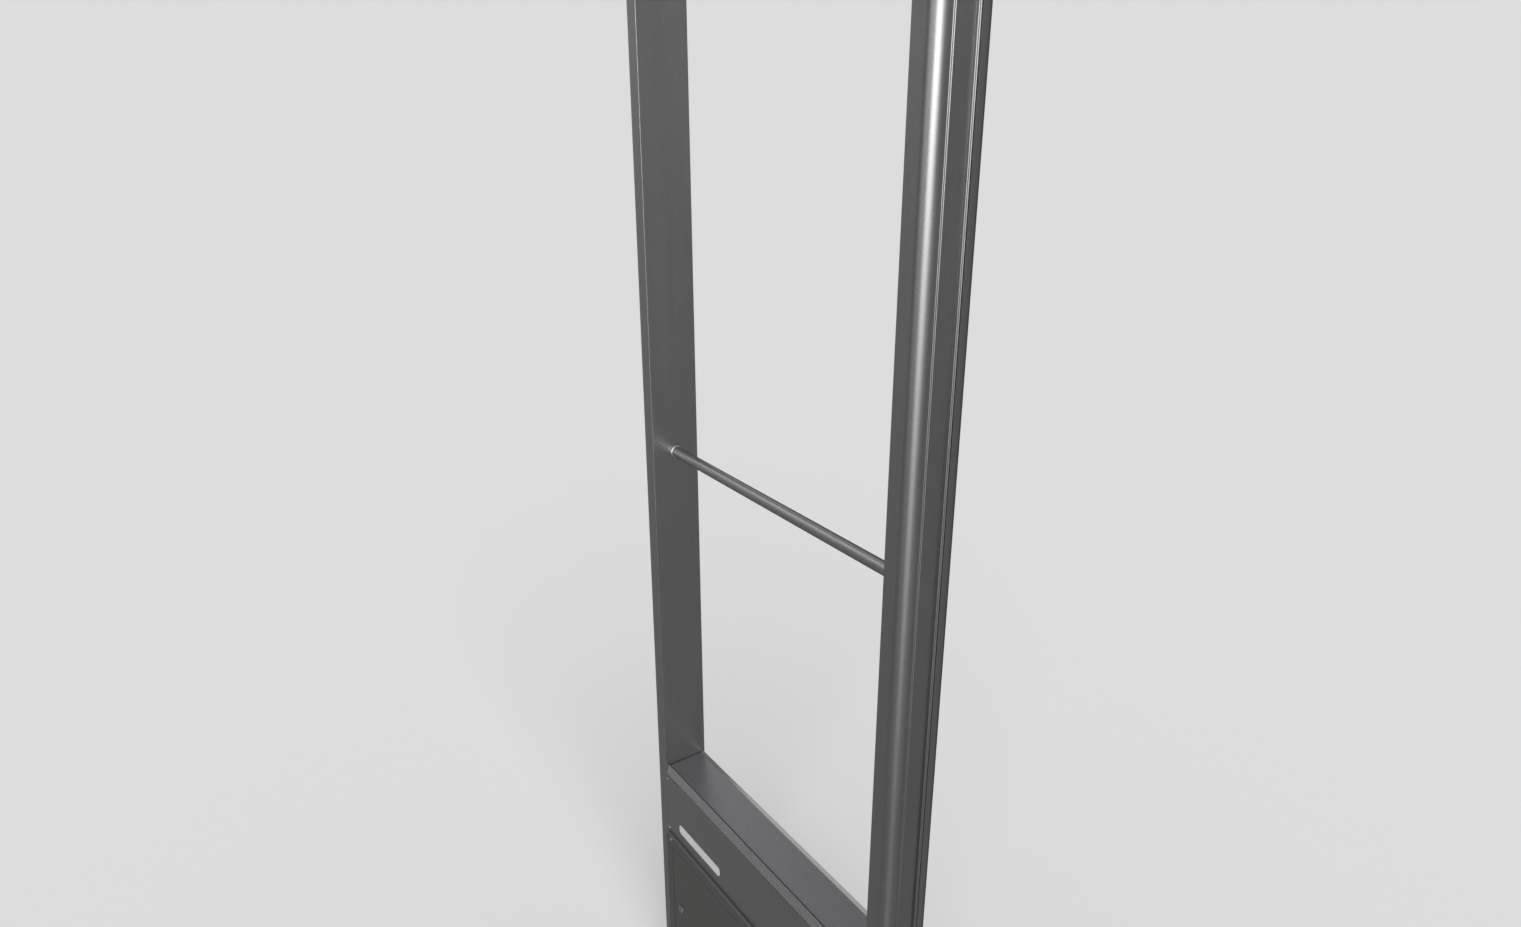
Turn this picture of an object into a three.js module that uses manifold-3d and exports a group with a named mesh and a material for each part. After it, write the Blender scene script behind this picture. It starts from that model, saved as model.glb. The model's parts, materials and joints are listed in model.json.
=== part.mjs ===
// Anti-theft antenna pedestal: two extruded posts, a crossover tube and an electronics base.
// Millimetres, +Z up. X runs across the opening, -Y is the front, and the origin is on the floor
// in the middle of the foot plate. Left is -X and right is +X, as seen from the front.

import * as THREE from 'three';
import { mergeVertices } from 'three/addons/utils/BufferGeometryUtils.js';
import Module from 'manifold-3d';

const wasm = await Module();
wasm.setup();

// ---------------------------------------------------------------- driving dimensions

const POST_DEPTH = 50;
const POST_WIDTH = 21;
const POST_WALL = 2.2;
const OPENING = 335;
const FRAME_HEIGHT = 1420;
const CORNER_INNER_RADIUS = 20;
const BASE_HEIGHT = 350;
const TUBE_ABOVE_BASE = 362;
const TUBE_RADIUS = 5.3;
const TUBE_BORE_RADIUS = 4;
const FOOT = { length: 420, depth: 110, thickness: 8, cornerRadius: 14 };
const ANCHOR_HOLE = { x: 180, y: 41, radius: 5.5 };
const GAP = 0.3;
const SHEET = 2.5;

// heights of the base's seams, all measured down from the cap
const FASCIA_TOP = BASE_HEIGHT - 10.6;
const SURROUND_TOP = BASE_HEIGHT - 88.9;
const COVER_TOP = BASE_HEIGHT - 103;
const LATCH_Z = BASE_HEIGHT - 179;
const SURROUND_SIDE = 12;
const SURROUND_PROUD = 2.8;
const COVER_GAP = 0.8;

// derived places
const HALF_DEPTH = POST_DEPTH / 2;
const INNER_X = OPENING / 2;
const PANEL_X = INNER_X - GAP;
const POST_TOP = FRAME_HEIGHT - POST_WIDTH - CORNER_INNER_RADIUS;
const RAIL_END_X = INNER_X - CORNER_INNER_RADIUS;
const TUBE_Z = BASE_HEIGHT + TUBE_ABOVE_BASE;
const FLOOR_SIDE_Z = FOOT.thickness + GAP;
const PANEL_BACK = HALF_DEPTH - SHEET;
const COVER_BOTTOM = 2 * LATCH_Z - COVER_TOP;
const CAVITY_CENTRE = 8.25;
const QUARTER = Math.PI / 2;

// how far along each side a cubic's handle reaches to follow a quarter circle
const ARC_HANDLE = 0.5523;

// ---------------------------------------------------------------- solids and booleans

function welded(geometry) {
  const bare = geometry.clone();
  bare.deleteAttribute('normal');
  bare.deleteAttribute('uv');
  const merged = mergeVertices(bare, 1e-4);
  const index = merged.index.array;
  const faces = [];
  for (let i = 0; i < index.length; i += 3) {
    const [a, b, c] = [index[i], index[i + 1], index[i + 2]];
    if (a !== b && b !== c && c !== a) faces.push(a, b, c);
  }
  merged.setIndex(faces);
  return merged;
}

function toSolid(geometry) {
  const merged = welded(geometry);
  return new wasm.Manifold(new wasm.Mesh({
    numProp: 3,
    vertProperties: new Float32Array(merged.attributes.position.array),
    triVerts: new Uint32Array(merged.index.array),
  }));
}

function toGeometry(solid) {
  const mesh = solid.getMesh();
  const geometry = new THREE.BufferGeometry();
  geometry.setAttribute('position', new THREE.BufferAttribute(mesh.vertProperties, 3));
  geometry.setIndex(new THREE.BufferAttribute(mesh.triVerts, 1));
  return geometry;
}

function cut(body, ...tools) {
  return toGeometry(tools.reduce((rest, tool) => rest.subtract(toSolid(tool)), toSolid(body)));
}

function join(...bodies) {
  return toGeometry(bodies.map(toSolid).reduce((sum, next) => sum.add(next)));
}

function block([x0, y0, z0], [x1, y1, z1]) {
  const geometry = new THREE.BoxGeometry(x1 - x0, y1 - y0, z1 - z0);
  return geometry.translate((x0 + x1) / 2, (y0 + y1) / 2, (z0 + z1) / 2);
}

const AXES = {
  x: new THREE.Matrix4().makeBasis(
    new THREE.Vector3(0, 1, 0), new THREE.Vector3(0, 0, 1), new THREE.Vector3(1, 0, 0)),
  y: new THREE.Matrix4().makeBasis(
    new THREE.Vector3(0, 0, 1), new THREE.Vector3(1, 0, 0), new THREE.Vector3(0, 1, 0)),
  z: new THREE.Matrix4(),
};

// An outline drawn in the plane across an axis, extruded along that axis from one place to another.
// The outline's two coordinates are (y, z) for x, (z, x) for y and (x, y) for z.
function prism(outline, axis, from, to, steps = 1) {
  const options = { depth: to - from, steps, bevelEnabled: false, curveSegments: 6 };
  const geometry = new THREE.ExtrudeGeometry(outline, options);
  return geometry.translate(0, 0, from).applyMatrix4(AXES[axis]);
}

function polygon(points, ...holes) {
  const shape = new THREE.Shape(points.map(([a, b]) => new THREE.Vector2(a, b)));
  shape.holes = holes.map((hole) => new THREE.Path(hole.map(([a, b]) => new THREE.Vector2(a, b))));
  return shape;
}

function rectangle(a0, b0, a1, b1) {
  return [[a0, b0], [a1, b0], [a1, b1], [a0, b1]];
}

function circle(a, b, radius, sides = 12) {
  return Array.from({ length: sides }, (_, i) => {
    const angle = (i * 2 * Math.PI) / sides;
    return [a + radius * Math.cos(angle), b + radius * Math.sin(angle)];
  });
}

// Orders two distances from the centre plane on its minus side (-1) or its plus side (+1).
function span(direction, a, b) {
  return [Math.min(direction * a, direction * b), Math.max(direction * a, direction * b)];
}

function rod(axis, from, to, a, b, radius, sides = 12) {
  return prism(polygon(circle(a, b, radius, sides)), axis, from, to);
}

// A turned piece from (radius, distance) pairs that start and end on its axis, standing along +Z.
function turned(profile, sides = 12) {
  const points = profile.map(([radius, distance]) => new THREE.Vector2(radius, distance));
  return new THREE.LatheGeometry(points, sides).rotateX(QUARTER);
}

// ---------------------------------------------------------------- routes for cables

// A path through chosen points, whose samples are exactly those points.
class Route extends THREE.Curve {
  constructor(points) {
    super();
    this.points = points;
  }

  getPointAt(t, target = new THREE.Vector3()) {
    return target.copy(this.points[Math.round(t * (this.points.length - 1))]);
  }

  getTangentAt(t, target = new THREE.Vector3()) {
    const here = Math.round(t * (this.points.length - 1));
    const before = this.points[Math.max(here - 1, 0)];
    const after = this.points[Math.min(here + 1, this.points.length - 1)];
    return target.copy(after).sub(before).normalize();
  }
}

// Straight runs between the given corners, each rounded by the bend, or by its own fourth number.
function cable(corners, radius, bend, sides = 6) {
  const places = corners.map(([x, y, z]) => new THREE.Vector3(x, y, z));
  const points = [places[0]];
  for (let i = 1; i < places.length - 1; i += 1) {
    const reach = corners[i][3] ?? bend;
    const [start, end] = [places[i - 1], places[i + 1]].map((next) => (
      places[i].clone().add(next.clone().sub(places[i]).setLength(reach))));
    const [leave, arrive] = [start, end].map((near) => near.clone().lerp(places[i], ARC_HANDLE));
    const arc = new THREE.CubicBezierCurve3(start, leave, arrive, end);
    points.push(...arc.getPoints(reach > 10 ? 6 : 4));
  }
  points.push(places.at(-1));
  return new THREE.ExtrudeGeometry(polygon(circle(0, 0, radius, sides)), {
    extrudePath: new Route(points),
    steps: points.length - 1,
    bevelEnabled: false,
  });
}

// ---------------------------------------------------------------- materials

function finish(color, roughness, metalness) {
  return { color, roughness, metalness };
}

const FINISHES = {
  anodised: finish(0x6a696b, 0.38, 1),
  brushed: finish(0x747276, 0.35, 1),
  steel: finish(0x8a8a8c, 0.4, 1),
  coated_dark: finish(0x3c3c3b, 0.6, 0.2),
  coated_foot: finish(0x333333, 0.65, 0.2),
  moulded_dark: finish(0x2d2d2e, 0.6, 0),
  pale_inlay: finish(0xc9c9c9, 0.45, 0),
  lens_red: finish(0xa02018, 0.15, 0),
  board_green: finish(0x1f5a34, 0.5, 0),
  plated: finish(0xb4b4b6, 0.3, 1),
  terminal_green: finish(0x2f8a4b, 0.5, 0),
  rubber_black: finish(0x161616, 0.85, 0),
  cable_grey: finish(0x4a4a4c, 0.7, 0),
  rocker_black: finish(0x1c1c1c, 0.35, 0),
  knob_white: finish(0xd8d6d0, 0.45, 0),
};

const gate = new THREE.Group();
gate.name = 'security_gate';

function add(name, geometry, finishName) {
  const mesh = new THREE.Mesh(geometry, new THREE.MeshStandardMaterial(FINISHES[finishName]));
  mesh.name = name;
  gate.add(mesh);
}

const SIDES = [['left', -1], ['right', 1]];
const FACES = [['front', -1], ['rear', 1]];

// ---------------------------------------------------------------- frame section

// The section is drawn as (out, across): out from the opening's side, across from front to back.
const CORNER_ACROSS = 12.3;
const CORNER_OUT = 12;
const CHANNEL = { half: 12, floor: POST_WIDTH - 3.9 };
const STRIP_LIP = 3;
const STRIP_FLOOR = POST_WIDTH - 2;
const BEAD_HEIGHT = 0.5;

// The rounded outer corner, from the front flat to the channel, a little fuller than an ellipse.
function roundedCorner(segments = 9) {
  const fullness = 2 / 2.4;
  return Array.from({ length: segments + 1 }, (_, i) => {
    const angle = (i * QUARTER) / segments;
    return [
      CORNER_OUT + (POST_WIDTH - CORNER_OUT) * Math.sin(angle) ** fullness,
      -CORNER_ACROSS - (HALF_DEPTH - CORNER_ACROSS) * Math.cos(angle) ** fullness,
    ];
  });
}

function mirroredAcross(points) {
  return points.map(([out, across]) => [out, -across]).reverse();
}

function symmetric(half) {
  return [...half, ...mirroredAcross(half)];
}

function sectionOutline(channelHalf, channelFloor) {
  const edge = 0.6;
  return symmetric([
    [0, edge - HALF_DEPTH],
    [edge, -HALF_DEPTH],
    ...roundedCorner(),
    [POST_WIDTH, -channelHalf],
    [channelFloor, -channelHalf],
  ]);
}

// The hollow follows the walls, cuts the rounded corner off and stops behind the channel.
const cavityAcross = HALF_DEPTH - POST_WALL;
const channelWall = CHANNEL.half + POST_WALL;
const extrusionCavity = symmetric([
  [POST_WALL, -cavityAcross],
  [CORNER_OUT + POST_WALL, -cavityAcross],
  [POST_WIDTH - 3.4, 5.5 - HALF_DEPTH],
  [POST_WIDTH - 2.4, -channelWall],
  [CHANNEL.floor - 1.8, -channelWall],
]);
const extrusionSection = polygon(sectionOutline(CHANNEL.half, CHANNEL.floor), extrusionCavity);

const TENON = [2.5, -22.5, 14, 22.5];
const TENON_WALL = 1.6;

function inset([out0, across0, out1, across1], wall) {
  return rectangle(out0 + wall, across0 + wall, out1 - wall, across1 - wall);
}

// The snap-in strip: a shallow channel whose two lips each carry a pair of small round beads.
function bead(from, to) {
  return Array.from({ length: 5 }, (_, i) => {
    const angle = Math.PI * (1 - i / 4);
    const across = (from + to) / 2 + ((to - from) / 2) * Math.cos(angle);
    return [POST_WIDTH - BEAD_HEIGHT * (1 - Math.sin(angle)), across];
  });
}

function stripSection() {
  const half = CHANNEL.half - GAP;
  const back = CHANNEL.floor + GAP;
  const middle = -half + STRIP_LIP / 2;
  const valley = 0.1;
  return polygon(symmetric([
    [back, -half],
    ...bead(-half, middle - valley),
    ...bead(middle + valley, -half + STRIP_LIP),
    [STRIP_FLOOR, -half + STRIP_LIP],
  ]));
}

const PLACE_POST = {
  left: new THREE.Matrix4().makeRotationZ(Math.PI).setPosition(-INNER_X, 0, 0),
  right: new THREE.Matrix4().makeTranslation(INNER_X, 0, 0),
};

// Turns a section extruded along its length into one lying along X with its outer side up.
const LAY_ON_TOP = new THREE.Matrix4().makeBasis(
  new THREE.Vector3(0, 0, 1), new THREE.Vector3(0, 1, 0), new THREE.Vector3(-1, 0, 0),
).setPosition(0, 0, FRAME_HEIGHT - POST_WIDTH);

function railPiece(section, x0, x1) {
  return prism(section, 'z', -x1, -x0).applyMatrix4(LAY_ON_TOP);
}

// ---------------------------------------------------------------- posts and top

const CABLE_ENTRY = { z: 240, y: -9.5, radius: 6.5 };

function post(side, direction) {
  const blank = prism(extrusionSection, 'z', FLOOR_SIDE_Z, POST_TOP - GAP)
    .applyMatrix4(PLACE_POST[side]);
  const [from, to] = span(direction, INNER_X - 2, INNER_X + 5);
  const tubeHole = rod('x', from, to, 0, TUBE_Z, TUBE_RADIUS + 0.4, 16);
  const cableHole = rod('x', from, to, CABLE_ENTRY.y, CABLE_ENTRY.z, CABLE_ENTRY.radius);
  return cut(blank, tubeHole, cableHole);
}

// Bends a section that stands on z = 0 round a quarter turn, with straight ends beyond the arc.
function bent(section, straight, segments) {
  const ends = straight > 0 ? 1 : 0;
  const steps = segments + 2 * ends;
  const geometry = prism(section, 'z', 0, steps, steps);
  const position = geometry.attributes.position;
  for (let i = 0; i < position.count; i += 1) {
    const radius = CORNER_INNER_RADIUS + position.getX(i);
    const step = Math.round(position.getZ(i)) - ends;
    const turn = (QUARTER * Math.min(Math.max(step, 0), segments)) / segments;
    const overrun = straight * (Math.min(step, 0) + Math.max(step - segments, 0));
    position.setX(i, radius * Math.cos(turn) - overrun * Math.sin(turn));
    position.setZ(i, radius * Math.sin(turn) + overrun * Math.cos(turn));
  }
  return geometry;
}

// A moulded corner: a bent shell round a sleeve that reaches into the post and the rail.
function corner(side) {
  const outline = sectionOutline(CHANNEL.half - GAP - STRIP_LIP, STRIP_FLOOR);
  const shell = polygon(outline, inset(TENON, TENON_WALL / 2));
  const sleeve = polygon(rectangle(...TENON), inset(TENON, TENON_WALL));
  const [segments, sleeveReach] = [6, 25];
  const geometry = join(bent(shell, 0, segments), bent(sleeve, sleeveReach, segments));
  geometry.translate(RAIL_END_X, 0, POST_TOP);
  return side === 'left' ? geometry.rotateZ(Math.PI) : geometry;
}

const LENS_HALF = 60;
const LAMP_LEAD = { x: -20, y: 8, radius: 1.2 };

function topRail() {
  const blank = railPiece(extrusionSection, GAP - RAIL_END_X, RAIL_END_X - GAP);
  const web = FRAME_HEIGHT - POST_WIDTH + CHANNEL.floor;
  return cut(blank, rod('z', web - 4, web + 2, LAMP_LEAD.x, LAMP_LEAD.y, 2.2));
}

// The lens is a hollow bar with a slightly crowned top, standing a little proud of the rail.
function lensShell(half, edge, crown, low, x0, x1) {
  const arch = Array.from({ length: 9 }, (_, i) => {
    const across = half * (1 - i / 4);
    return [edge + (crown - edge) * (1 - (across / half) ** 2), across];
  });
  return railPiece(polygon([[low, -half], ...arch.reverse(), [low, half]]), x0, x1);
}

function alarmLens() {
  const half = CHANNEL.half - GAP;
  const low = CHANNEL.floor + GAP;
  const end = LENS_HALF - GAP;
  const wall = 1.5;
  const [edge, crown] = [POST_WIDTH + 0.8, POST_WIDTH + 3];
  const outer = lensShell(half, edge, crown, low, -end, end);
  const hollow = lensShell(half - wall, edge - 1.4, crown - 1.6, low - 1, wall - end, end - wall);
  return cut(outer, hollow);
}

function alarmLampBoard() {
  const low = FRAME_HEIGHT - POST_WIDTH + CHANNEL.floor + GAP;
  const board = block([-55, -9.5, low], [55, 9.5, low + 1.2]);
  const lampPitch = 13;
  const lamps = Array.from({ length: 8 }, (_, i) => {
    const x = (i - 3.5) * lampPitch;
    return block([x - 2, -2, low + 1], [x + 2, 2, low + 2.6]);
  });
  return join(board, ...lamps);
}

function postFoot(side) {
  const sleeve = polygon(rectangle(...TENON), inset(TENON, 3));
  return prism(sleeve, 'z', FLOOR_SIDE_Z, 68).applyMatrix4(PLACE_POST[side]);
}

for (const [side, direction] of SIDES) {
  add(`post_${side}`, post(side, direction), 'anodised');
  const strip = prism(stripSection(), 'z', FLOOR_SIDE_Z, POST_TOP - GAP);
  add(`post_strip_${side}`, strip.applyMatrix4(PLACE_POST[side]), 'brushed');
  add(`post_foot_${side}`, postFoot(side), 'steel');
  add(`corner_${side}`, corner(side), 'moulded_dark');
  const [x0, x1] = side === 'left' ? [GAP - RAIL_END_X, -LENS_HALF] : [LENS_HALF, RAIL_END_X - GAP];
  add(`top_strip_${side}`, railPiece(stripSection(), x0, x1), 'brushed');
}
add('top_rail', topRail(), 'anodised');
add('alarm_lens', alarmLens(), 'lens_red');
add('alarm_lamp_board', alarmLampBoard(), 'board_green');

// ---------------------------------------------------------------- crossover tube

const TUBE_END_X = INNER_X + 6;
const FERRULE = { radius: 6.6, thickness: 2.2 };

function ring(outer, inner, sides) {
  return polygon(circle(0, TUBE_Z, outer, sides), circle(0, TUBE_Z, inner, sides));
}

const tube = prism(ring(TUBE_RADIUS, TUBE_BORE_RADIUS, 20), 'x', -TUBE_END_X, TUBE_END_X);
add('crossover_tube', tube, 'brushed');
for (const [side, direction] of SIDES) {
  const [x0, x1] = span(direction, PANEL_X - FERRULE.thickness, PANEL_X);
  const ferrule = prism(ring(FERRULE.radius, TUBE_RADIUS + GAP, 20), 'x', x0, x1);
  add(`tube_ferrule_${side}`, ferrule, 'steel');
}

// ---------------------------------------------------------------- foot plate

const FLOOR_HOLE = { x: 60, y: -8, radius: 9 };

function footPlate() {
  const { length, depth, thickness, cornerRadius } = FOOT;
  const [a, b] = [length / 2 - cornerRadius, depth / 2 - cornerRadius];
  const outline = new THREE.Shape();
  outline.absarc(a, -b, cornerRadius, -QUARTER, 0);
  outline.absarc(a, b, cornerRadius, 0, QUARTER);
  outline.absarc(-a, b, cornerRadius, QUARTER, 2 * QUARTER);
  outline.absarc(-a, -b, cornerRadius, 2 * QUARTER, 3 * QUARTER);
  const holes = [-1, 1].flatMap((sx) => [-1, 1].map((sy) => (
    circle(sx * ANCHOR_HOLE.x, sy * ANCHOR_HOLE.y, ANCHOR_HOLE.radius))));
  holes.push(circle(FLOOR_HOLE.x, FLOOR_HOLE.y, FLOOR_HOLE.radius, 24));
  outline.holes = holes.map((hole) => (
    new THREE.Path(hole.map(([x, y]) => new THREE.Vector2(x, y)))));
  return prism(outline, 'z', 0, thickness);
}

// A rubber ring whose groove grips the edge of the plate's cable hole.
function floorGrommet() {
  const grip = FLOOR_HOLE.radius - GAP;
  const rim = FLOOR_HOLE.radius + 2.5;
  const inner = 5.2;
  const top = 10.5;
  const profile = [
    [inner, 1], [grip, 1], [grip, FLOOR_SIDE_Z], [rim, FLOOR_SIDE_Z],
    [rim, top], [inner, top], [inner, 1],
  ];
  return turned(profile, 16).translate(FLOOR_HOLE.x, FLOOR_HOLE.y, 0);
}

add('foot_plate', footPlate(), 'coated_foot');
add('floor_grommet', floorGrommet(), 'rubber_black');

// ---------------------------------------------------------------- base shells

// A tray whose front and back rims fall gently inwards and steeply outwards from their crests.
function baseCap() {
  const crest = HALF_DEPTH - 2.8;
  const innerFoot = crest - 3.2;
  const trayTop = BASE_HEIGHT - 2;
  const trayBottom = trayTop - SHEET;
  const skirt = FASCIA_TOP + GAP;
  const leg = PANEL_BACK - 0.1;
  return prism(polygon([
    [-HALF_DEPTH, skirt], [-leg, skirt], [2 - crest, trayBottom],
    [crest - 2, trayBottom], [leg, skirt], [HALF_DEPTH, skirt],
    [crest, BASE_HEIGHT], [innerFoot, trayTop], [-innerFoot, trayTop], [-crest, BASE_HEIGHT],
  ]), 'x', -PANEL_X, PANEL_X);
}

const FASCIA_SCREW_X = INNER_X - 3.2;
const FASCIA_SCREWS = [['upper', FASCIA_TOP - 5.4], ['lower', SURROUND_TOP + 6.6]];
const SURROUND_SCREW = { x: INNER_X - 10, z: SURROUND_TOP - 4.6 };
const SCREW_HOLE = 1.9;
const LATCH_X = INNER_X - 28.5;
const INLAY = { x0: -INNER_X + 26, x1: -INNER_X + 108, z0: 276.5, z1: 287.5, depth: 0.8 };

function screwHoles(x, ...heights) {
  return [-1, 1].flatMap((side) => heights.map((z) => circle(z, side * x, SCREW_HOLE)));
}

function fascia(face) {
  const edge = rectangle(SURROUND_TOP + GAP, -PANEL_X, FASCIA_TOP, PANEL_X);
  const heights = FASCIA_SCREWS.map(([, z]) => z);
  const plate = polygon(edge, ...screwHoles(FASCIA_SCREW_X, ...heights));
  const blank = prism(plate, 'y', ...span(face, PANEL_BACK, HALF_DEPTH));
  if (face > 0) return blank;
  const pocket = block(
    [INLAY.x0 - GAP, -HALF_DEPTH - 1, INLAY.z0 - GAP],
    [INLAY.x1 + GAP, -HALF_DEPTH + INLAY.depth + GAP, INLAY.z1 + GAP],
  );
  return cut(blank, pocket);
}

function surround(face) {
  const edge = rectangle(FLOOR_SIDE_Z, -PANEL_X, SURROUND_TOP, PANEL_X);
  const openingX = PANEL_X - SURROUND_SIDE;
  const opening = rectangle(COVER_BOTTOM - COVER_GAP, -openingX, COVER_TOP + COVER_GAP, openingX);
  const frame = polygon(edge, opening, ...screwHoles(SURROUND_SCREW.x, SURROUND_SCREW.z));
  return prism(frame, 'y', ...span(face, PANEL_BACK, HALF_DEPTH + SURROUND_PROUD));
}

const LATCH = {
  head: 5, stem: 2.8, stemEnd: 17.4, pinHalf: 5.5, pinRadius: 1, pinY: 18.8, slot: 1.4,
};

// The service cover is a shallow pan: a face with a short return round its edge.
const COVER_FACE = HALF_DEPTH + SURROUND_PROUD - 0.2;
const COVER_SKIN = COVER_FACE - 2;
const COVER_X = PANEL_X - SURROUND_SIDE - COVER_GAP;

function cover(face) {
  const wall = 1.5;
  const rim = PANEL_BACK + 0.2;
  const [y0, y1] = span(face, rim, COVER_FACE);
  const [h0, h1] = span(face, rim - 1, COVER_SKIN);
  const pan = block([-COVER_X, y0, COVER_BOTTOM], [COVER_X, y1, COVER_TOP]);
  const hollow = block(
    [wall - COVER_X, h0, COVER_BOTTOM + wall],
    [COVER_X - wall, h1, COVER_TOP - wall],
  );
  const latchHole = LATCH.stem + 0.6;
  const holes = [-1, 1].map((side) => (
    rod('y', y0 - 1, y1 + 1, LATCH_Z, side * LATCH_X, latchHole)));
  return cut(pan, hollow, ...holes);
}

// A quarter-turn latch: slotted head, stem through the cover, and a cross pin behind the bracket.
function latch(face, direction) {
  const headBase = COVER_FACE + 0.15;
  const [s0, s1] = span(face, LATCH.stemEnd, headBase + 0.2);
  const head = turned([
    [0, 0], [LATCH.head, 0], [LATCH.head, 0.7], [LATCH.head - 0.4, 1.1], [0, 1.1],
  ], 20).rotateX(-face * QUARTER);
  const x = direction * LATCH_X;
  head.translate(x, face * headBase, LATCH_Z);
  const stem = rod('y', s0, s1, LATCH_Z, x, LATCH.stem);
  const { pinHalf, pinRadius, pinY } = LATCH;
  const pin = rod('x', x - pinHalf, x + pinHalf, face * pinY, LATCH_Z, pinRadius, 8);
  const [c0, c1] = span(face, headBase + 0.5, headBase + 2);
  const [slotWidth, slotReach] = [LATCH.slot / 2, 3.6];
  const slot = block(
    [x - slotWidth, c0, LATCH_Z - slotReach],
    [x + slotWidth, c1, LATCH_Z + slotReach],
  );
  return cut(join(head, stem, pin), slot);
}

function screw(face, x, z, seat) {
  const head = 2.3;
  const shank = 1.5;
  const profile = [
    [0, -6], [shank, -6], [shank, 0.1], [head, 0.1], [head, 0.6], [1.6, 1.1], [0, 1.1],
  ];
  const geometry = turned(profile, 10).rotateX(-face * QUARTER);
  return geometry.translate(x, face * seat, z);
}

add('base_cap', baseCap(), 'brushed');
add('fascia_inlay', block(
  [INLAY.x0, -HALF_DEPTH - 0.2, INLAY.z0],
  [INLAY.x1, -HALF_DEPTH + INLAY.depth, INLAY.z1],
), 'pale_inlay');
for (const [facing, face] of FACES) {
  add(`${facing}_fascia`, fascia(face), 'anodised');
  add(`${facing}_surround`, surround(face), 'coated_dark');
  add(`${facing}_cover`, cover(face), 'coated_dark');
  for (const [side, direction] of SIDES) {
    add(`${facing}_latch_${side}`, latch(face, direction), 'plated');
    const fasciaScrewX = direction * FASCIA_SCREW_X;
    for (const [level, z] of FASCIA_SCREWS) {
      add(`${facing}_fascia_screw_${level}_${side}`, screw(face, fasciaScrewX, z, HALF_DEPTH), 'plated');
    }
    const { x, z } = SURROUND_SCREW;
    const seat = HALF_DEPTH + SURROUND_PROUD;
    add(`${facing}_surround_screw_${side}`, screw(face, direction * x, z, seat), 'plated');
  }
}

// ---------------------------------------------------------------- brackets and chassis

// A channel against the post whose flanges carry the fascias, surrounds and covers.
const BRACKET = { flange: 39, top: FASCIA_TOP - 1, thickness: 2 };

function bracket(direction) {
  const flangeY = PANEL_BACK - GAP;
  const web = PANEL_X - SHEET;
  const tip = PANEL_X - BRACKET.flange;
  const inside = flangeY - BRACKET.thickness;
  const half = [[PANEL_X, -flangeY], [tip, -flangeY], [tip, -inside], [web, -inside]];
  const outline = [...half, ...half.map(([x, y]) => [x, -y]).reverse()];
  const blank = prism(polygon(outline.reverse()), 'z', FLOOR_SIDE_Z, BRACKET.top);
  const screws = [...FASCIA_SCREWS.map(([, z]) => ({ x: FASCIA_SCREW_X, z })), SURROUND_SCREW];
  const [behind, before] = [inside - 3, flangeY + 2];
  const tools = FACES.flatMap(([, face]) => [
    ...screws.map(({ x, z }) => rod('y', ...span(face, behind, before), z, x, SCREW_HOLE)),
    rod('y', ...span(face, behind, before), LATCH_Z, LATCH_X, LATCH.pinHalf + 1.1, 16),
  ]);
  tools.push(rod('x', web - 2, PANEL_X + 1, CABLE_ENTRY.y, CABLE_ENTRY.z, CABLE_ENTRY.radius));
  const geometry = cut(blank, ...tools);
  return direction > 0 ? geometry : mirroredInX(geometry);
}

function mirroredInX(geometry) {
  geometry.scale(-1, 1, 1);
  const index = geometry.index.array;
  for (let i = 0; i < index.length; i += 3) [index[i], index[i + 1]] = [index[i + 1], index[i]];
  return geometry;
}

const BOARD = { x: 75, z0: 112, z1: 232, back: -6, front: -7.6 };
const CHASSIS = { front: 6, back: 8, bottom: 14, top: 330, flange: 10 };

function chassisPlate() {
  const end = PANEL_X - SHEET - GAP;
  const { front, back, bottom, top, flange } = CHASSIS;
  const inner = end - (back - front);
  const outline = polygon([
    [-end, front], [end, front], [end, back + flange], [inner, back + flange], [inner, back],
    [-inner, back], [-inner, back + flange], [-end, back + flange],
  ]);
  const studs = [-1, 1].flatMap((side) => [BOARD.z0 + 6, BOARD.z1 - 6].map((z) => (
    rod('y', BOARD.back + GAP, front + 1, z, side * (BOARD.x - 6), 3))));
  return join(prism(outline, 'z', bottom, top), ...studs);
}

for (const [side, direction] of SIDES) add(`bracket_${side}`, bracket(direction), 'steel');
add('chassis_plate', chassisPlate(), 'steel');

// ---------------------------------------------------------------- electronics

const KNOBS = [['sensitivity', -45], ['volume', -15]];
const KNOB_Z = 130;

// The control board's parts: centre, size across and up, and how far each stands off the board.
const BOARD_PARTS = {
  processor: { x: 0, z: 176, width: 16, height: 16, rise: 2 },
  driver: { x: -34, z: 176, width: 14, height: 10, rise: 2 },
  relay: { x: -50, z: 200, width: 18, height: 14, rise: 10 },
  coil: { x: 36, z: 182, width: 12, height: 20, rise: 3 },
  upperCapacitor: { x: 60, z: 190, width: 10, height: 10, rise: 12 },
  lowerCapacitor: { x: 60, z: 172, width: 10, height: 10, rise: 12 },
  ...Object.fromEntries(KNOBS.map(([name, x]) => (
    [`${name}Control`, { x, z: KNOB_Z, width: 10, height: 10, rise: 3.4 }]))),
};

function controlBoard() {
  const plate = block([-BOARD.x, BOARD.front, BOARD.z0], [BOARD.x, BOARD.back, BOARD.z1]);
  const parts = Object.values(BOARD_PARTS).map(({ x, z, width, height, rise }) => block(
    [x - width / 2, BOARD.front - rise, z - height / 2],
    [x + width / 2, BOARD.front + 0.5, z + height / 2],
  ));
  return join(plate, ...parts);
}

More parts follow.
